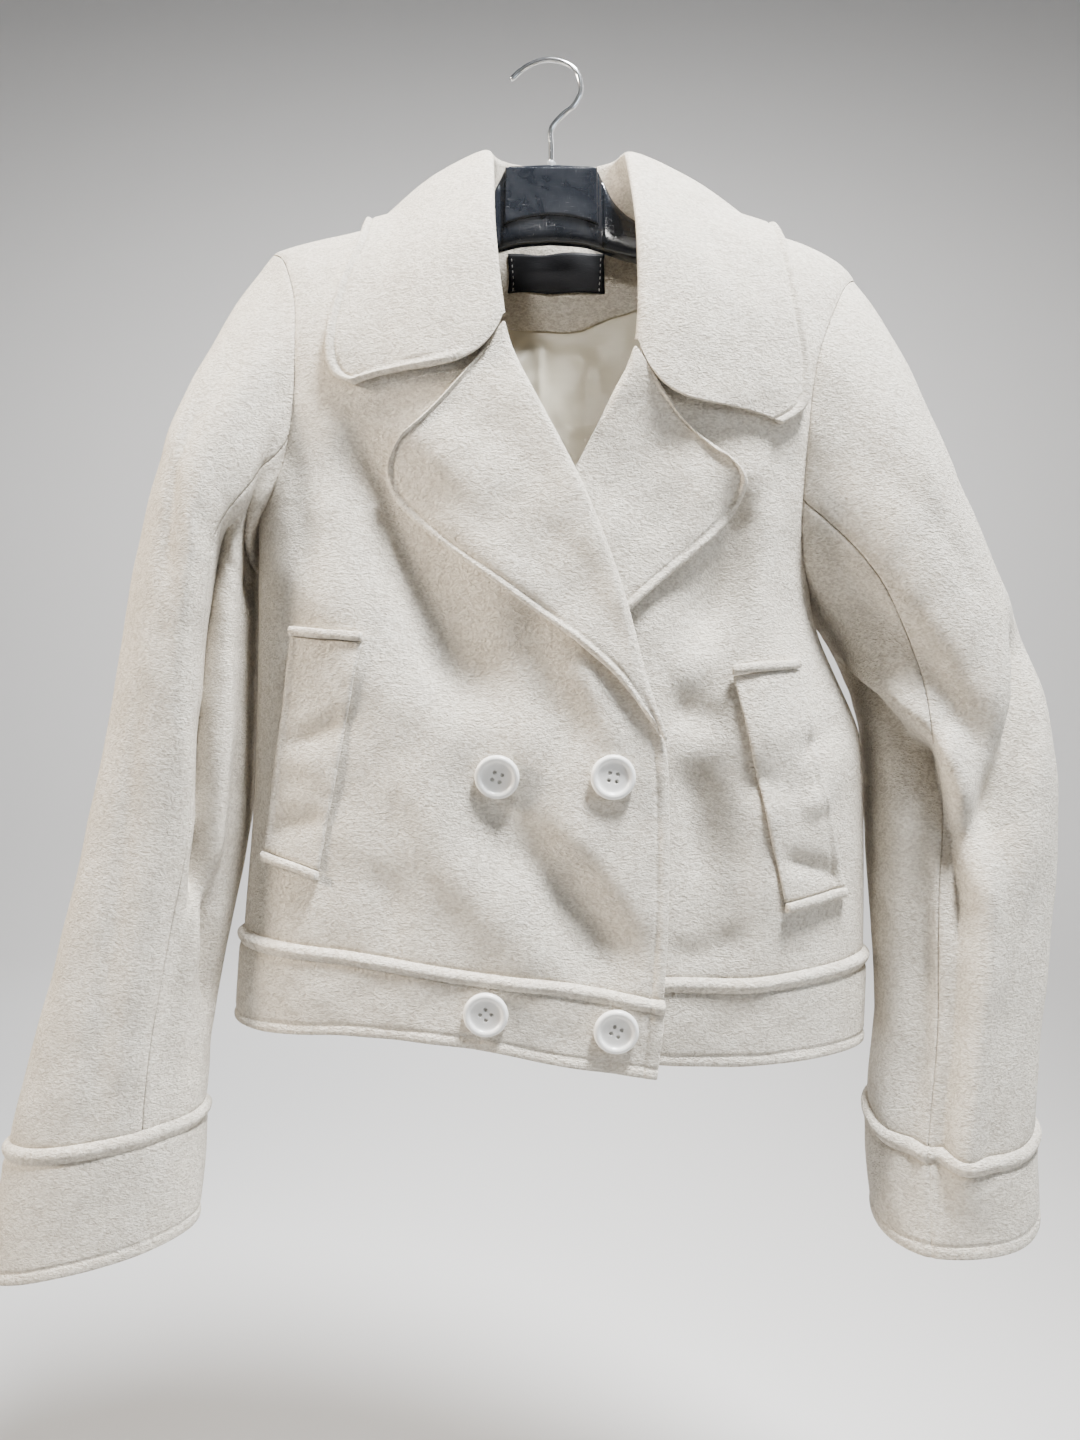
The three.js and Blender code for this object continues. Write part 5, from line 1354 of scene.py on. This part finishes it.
# Label stitches. A short slanting row of white running stitches at each end of the label, sewn
# with cotton thread through the ribbon and the facing.
STITCH_LONG, STITCH_THICK, STITCH_SINK, STITCHES = 2.3, 0.55, 0.3, 6
STITCH_ROWS = ((0.035, 0.012), (0.965, -0.014))
STITCH_STEP, STITCH_SIDES, STITCH_RINGS = 0.08, 8, 7


def grain_shape(centre, along):
    """A thin rounded grain lying along a direction: its points and faces."""
    along = unit(along)
    side_way = unit(np.cross(along, (0, 1, 0)))
    up_way = np.cross(side_way, along)
    a, s = np.meshgrid(angles(STITCH_SIDES), np.linspace(-0.98, 0.98, STITCH_RINGS))
    r = np.sqrt(1 - s**2)[..., None] * STITCH_THICK / 2
    round_it = r * (np.cos(a)[..., None] * side_way + np.sin(a)[..., None] * up_way)
    grain = centre + s[..., None] * along * STITCH_LONG / 2 + round_it
    return grain.reshape(-1, 3), grid_faces(STITCH_SIDES, STITCH_RINGS, True)


def thread_finish():
    """White cotton thread, matt, faintly mottled by its twist."""
    thread = Finish("white_thread", Roughness=0.6)
    twist = thread.grain(thread.place(), 0.3, 1)
    return thread.set(Base_Color=thread.blend(twist, (0.62, 0.61, 0.58, 1), (0.80, 0.79, 0.77, 1)))


stitch_points, stitch_faces = [], []
for end, slant in STITCH_ROWS:
    for v in (np.arange(STITCHES) + 0.7) / (STITCHES + 0.4):
        both_ends = np.array([v, v + STITCH_STEP])
        p = label(end + slant * both_ends, both_ends)
        spot = p.mean(0) - (0, LABEL_CLOTH / 2 + STITCH_THICK * STITCH_SINK, 0)
        grain_points, grain_faces = grain_shape(spot, p[1] - p[0])
        stitch_faces += (grain_faces + len(stitch_points) * len(grain_points)).tolist()
        stitch_points.append(grain_points)
piece_of("label_stitches", np.concatenate(stitch_points), stitch_faces, "label", thread_finish())

# Hanger. A moulded body with two sloping arms and a raised plate in the middle of its front,
# of dark glossy plastic that is scuffed and smudged from use.
HANGER = table(
    "x top bottom half",
    (0, -69, -118, 7),
    (20, -70, -119.5, 7),
    (28, -71, -121.5, 7),
    (33, -80, -123, 7.2),
    (39, -92, -125, 7.6),
    (47, -101, -127.5, 8),
    (56, -106.5, -129.5, 8.5),
    (80, -113.5, -133, 9),
    (110, -117.5, -137, 9.5),
    (140, -122, -142, 10),
    (156, -125.9, -146, 9),
)
HANGER_X, HANGER_Y, HANGER_ROUND, HANGER_END, HANGER_TIP = 2, -4, 0.5, 156, 5
HANGER_SIDES, SLOT_DEPTH, SLOT_OUT, SLOT_WIDE, SLOT_FRONT = 40, 1.1, 3, 1.1, -0.2
hanger_at = columns(HANGER, "x")


def hanger_finish():
    """Injection-moulded plastic: a clear shine broken by smudges and fine rubbed scratches."""
    shell = Finish("moulded_plastic")
    place = shell.place()
    smudge = shell.grain(place, 16, 4, Distortion=0.8)
    haze = shell.node("ValToRGB", {"stops": ((0.42, (0, 0, 0)), (0.66, (1, 1, 1)))}, {"Fac": smudge})
    rub_a = shell.grain(place, 0.7, 2, (14, 1, 0.7), Distortion=0.3)
    rub_b = shell.grain(place, 0.6, 2, (1, 1, 12), Distortion=0.4)
    lines = shell.node("ValToRGB", {"stops": ((0.60, (0, 0, 0)), (0.72, (1, 1, 1)))},
                       {"Fac": rub_a.math("MAXIMUM", rub_a, rub_b)})
    worn = haze * 0.22 + lines * 0.2
    return shell.set(
        Base_Color=shell.blend(worn, (0.010, 0.012, 0.016, 1), (0.045, 0.047, 0.055, 1)),
        Roughness=worn * 0.4 + 0.12,
        Normal=shell.bumped(lines, 0.03, 0.5),
    )


def soft_power(c):
    """Rounds a section off towards a rectangle."""
    return np.sign(c) * np.abs(c) ** HANGER_ROUND


def hanger_taper(x):
    """Scale of a section, which shrinks as a quarter round at both ends of the arms."""
    return np.sqrt(clamp01(1 - clamp01((np.abs(x) - HANGER_END + HANGER_TIP) / HANGER_TIP) ** 2))


def hanger_rings(a, x):
    """Sections along the arms, each a rounded rectangle, with an upright groove beside the plate."""
    top, bottom, half = (hanger_at[name](np.abs(x)) for name in ("top", "bottom", "half"))
    beside = (np.abs(x) - PLATE["half"] - SLOT_OUT) / SLOT_WIDE
    groove = SLOT_DEPTH * bump(beside) * (np.cos(a) < SLOT_FRONT)
    y = HANGER_Y + (half - groove) * hanger_taper(x) * soft_power(np.cos(a))
    z = (top + bottom) / 2 + (top - bottom) / 2 * hanger_taper(x) * soft_power(np.sin(a))
    return points(HANGER_X + x, y, z)


HANGER_PLASTIC = hanger_finish()
PLATE = {"half": 29, "flare": 1, "top": -73, "low": -109, "arch": -103, "front": -12.6, "deep": 6,
         "edge": 1.5}
beside_plate = np.linspace(27, 41, 22)
hanger_x = merged(np.linspace(-HANGER_END + 0.3, HANGER_END - 0.3, 90), beside_plate, -beside_plate)
rings = hanger_rings(*np.meshgrid(angles(HANGER_SIDES), hanger_x))
arm_end_z = (hanger_at["top"](np.abs(hanger_x)) + hanger_at["bottom"](np.abs(hanger_x))) / 2
ends = [(HANGER_X + hanger_x[e], HANGER_Y, arm_end_z[e]) for e in (0, -1)]
piece_of("hanger_shell", *capped(rings, ends), "hanger_plastic", HANGER_PLASTIC, ["hanger_body"])


def plate(u, v):
    """The raised plate: straight at its top and sides, arched at its lower edge."""
    x = (2 * u - 1) * (PLATE["half"] + PLATE["flare"] * v)
    low = mix(PLATE["arch"], PLATE["low"], (x / PLATE["half"]) ** 2)
    z = mix(PLATE["top"], low, v)
    return points(HANGER_X + x, PLATE["front"] + PLATE["deep"] / 2, z)


def plate_half(reach):
    """Half thickness of the plate, with a quarter round at all four edges."""
    near = np.minimum.reduce([reach[side] for side in ("left", "right", "top", "bottom")])
    q = clamp01(near / PLATE["edge"])
    return PLATE["deep"] / 2 - PLATE["edge"] * (1 - np.sqrt(1 - (1 - q) ** 2))


edge_shares = np.array([0.002, 0.005, 0.01, 0.017, 0.026, 0.036])
plate_columns = spread(30, edge_shares * 0.7, 1 - edge_shares * 0.7)
plate_rows = spread(20, edge_shares, 1 - edge_shares)
wall("hanger_body", plate, plate_columns, plate_rows, plate_half, HANGER_PLASTIC,
     slot="hanger_plastic", levels=0, kind="_plate")

# Hook. A round wire of bright steel, bent to a hook with a blunt free end. It stands in the top
# of the hanger, where a small collar of clouded plastic holds it.
HOOK = ((2, -63.4), (2, -54), (2, -43), (9, -34), (17, -27), (21, -17), (17.8, -5.5), (9.5, 0), (0, 1.6),
        (-9, -0.6), (-17, -5), (-24, -11.5))
HOOK_RADIUS, HOOK_RINGS, HOOK_SIDES, HOOK_BLUNT = 1.6, 170, 18, 0.02
FERRULE = table(
    "s r h",
    (0, 2.7, 0),
    (1, 3.0, 0.4),
    (2, 3.0, 3.0),
    (3, 2.85, 3.9),
    (4, 2.35, 4.8),
    (5, 1.9, 5.0),
    (6, 1.62, 4.9),
)
FERRULE_Z, FERRULE_SIDES, FERRULE_RINGS = -68.7, 32, 25


def wire_finish():
    """Bright drawn wire, faintly streaked along its length."""
    wire = Finish("bright_wire", Metallic=1.0)
    streak = wire.grain(wire.place(), 1.2, 2, (1, 1, 9))
    return wire.set(
        Base_Color=wire.blend(streak, (0.58, 0.59, 0.61, 1), (0.78, 0.79, 0.80, 1)),
        Roughness=streak * 0.14 + 0.12,
    )


def ferrule_finish():
    """Clear plastic gone cloudy: about a third of the light passes through it."""
    clear = Finish("clouded_collar", IOR=1.46, Transmission_Weight=0.35)
    cloud = clear.grain(clear.place(), 1.5, 2)
    return clear.set(
        Base_Color=clear.blend(cloud, (0.30, 0.31, 0.32, 1), (0.46, 0.47, 0.48, 1)),
        Roughness=cloud * 0.12 + 0.28,
    )


def hook_rings():
    """The wire's middle line and its rings of points; its free end is rounded off."""
    stops = [np.broadcast_to((x, 0.0, z), (HOOK_RINGS, 3)) for x, z in HOOK]
    line = section(stops, np.linspace(0, 1, HOOK_RINGS))
    out = np.cross(unit(np.gradient(line, axis=0)), (0, 1, 0))
    to_tip = np.linalg.norm(np.diff(line[::-1], axis=0), axis=1).cumsum()[::-1]
    to_tip = np.append(to_tip, 0)
    radius = HOOK_RADIUS * np.sqrt(1 - (1 - clamp01((to_tip + HOOK_BLUNT) / HOOK_RADIUS)) ** 2)
    a = angles(HOOK_SIDES)[None, :, None]
    ring = np.cos(a) * out[:, None] + np.sin(a) * np.array([0.0, 1.0, 0.0])
    return line, line[:, None] + radius[:, None, None] * ring


def ferrule_rings():
    """The ferrule's profile turned round the wire."""
    a, s = np.meshgrid(angles(FERRULE_SIDES), np.linspace(0, FERRULE["s"][-1], FERRULE_RINGS))
    r, h = (column(FERRULE, "s", name)(s) for name in ("r", "h"))
    return points(HANGER_X + r * np.cos(a), r * np.sin(a), FERRULE_Z + h)


line, rings = hook_rings()
piece_of("hook_wire", *capped(rings, line[[0, -1]]), "hook_metal", wire_finish(), ["hanger_hook"])
ferrule_ends = [(HANGER_X, 0, FERRULE_Z + FERRULE["h"][end]) for end in (0, -1)]
piece_of("ferrule_collar", *capped(ferrule_rings(), ferrule_ends), "hook_metal", ferrule_finish(),
         ["hanger_ferrule"])

# Stage, lights and camera. A pale floor that rises into a round sweep, soft lights round the
# jacket, and the camera level in front, at the height from which the photograph was taken.
FLOOR_Z, SWEEP_START, SWEEP_RADIUS, SWEEP_HIGH, SWEEP_SIDES = -1050, 2600, 1200, 3400, 96
MIDDLE, NECK, BACKDROP, SOFT_SPREAD = (0, 0, -0.35), (0, 0, -0.17), (0, 3.8, -0.7), 75
PHOTO_FOCAL, PHOTO_LONG, SENSOR = 1100, 1440, 36


def sweep(a, s):
    """The stage: flat, then a quarter round, then upright."""
    turn = clamp01(s - 1) * math.pi / 2
    radius = np.where(s < 1, s * SWEEP_START, SWEEP_START + SWEEP_RADIUS * np.sin(turn))
    up = SWEEP_RADIUS * (1 - np.cos(turn)) + np.maximum(s - 2, 0) * SWEEP_HIGH
    return points(radius * np.cos(a), radius * np.sin(a), FLOOR_Z + up)


def soft_light(name, place, target, size, power, colour, spread=SOFT_SPREAD):
    """A round lamp at a place, turned to its target."""
    lamp = bpy.data.lights.new(name, "AREA")
    lamp.shape, lamp.size, lamp.energy, lamp.color = "DISK", size, power, colour
    lamp.spread = math.radians(spread)
    made = in_scene(name, lamp)
    made.location = place
    made.rotation_euler = (Vector(target) - Vector(place)).to_track_quat("-Z", "Y").to_euler()


sweep_steps = merged([0.001, 3], np.linspace(0.1, 1, 8), np.linspace(1, 2, 16))
stage_points = sweep(*np.meshgrid(angles(SWEEP_SIDES), sweep_steps)).reshape(-1, 3)
stage_faces = grid_faces(SWEEP_SIDES, len(sweep_steps), True, flip=True).tolist()
stage_finish = Finish("pale_stage", Base_Color=(0.66, 0.65, 0.64, 1), Roughness=0.9)
smooth_mesh("sweep", stage_points, stage_faces, stage_finish.material)

soft_light("key", (0.5, -0.58, 1.33), MIDDLE, 0.45, 34, (0.95, 0.975, 1))
soft_light("side", (-1.7, -0.35, 0.3), MIDDLE, 0.4, 13, (1, 0.88, 0.74))
soft_light("fill", (1.5, -0.7, -0.2), MIDDLE, 0.9, 2.5, (0.72, 0.85, 1))
soft_light("back", (0.4, 1.7, 0.9), MIDDLE, 1.2, 8, (1, 0.99, 0.97))
soft_light("backdrop", (0, 1.5, 1.0), BACKDROP, 1.5, 90, (1, 1, 1), 160)
soft_light("neck", (-0.35, -1.5, 0.3), NECK, 0.25, 0.11, (1, 0.98, 0.94), 14)
world = bpy.data.worlds.new("studio")
world.use_nodes = True
sky = world.node_tree.nodes["Background"].inputs
sky["Color"].default_value = (0.78, 0.88, 1, 1)
sky["Strength"].default_value = 0.12
bpy.context.scene.world = world

lens = bpy.data.cameras.new("camera")
lens.sensor_fit, lens.sensor_height, lens.lens = "VERTICAL", SENSOR, SENSOR * PHOTO_FOCAL / PHOTO_LONG
camera = in_scene("camera", lens)
camera.location = (-0.005, -0.704, -0.421)
camera.rotation_euler = (math.pi / 2, 0, 0)
bpy.context.scene.camera = camera
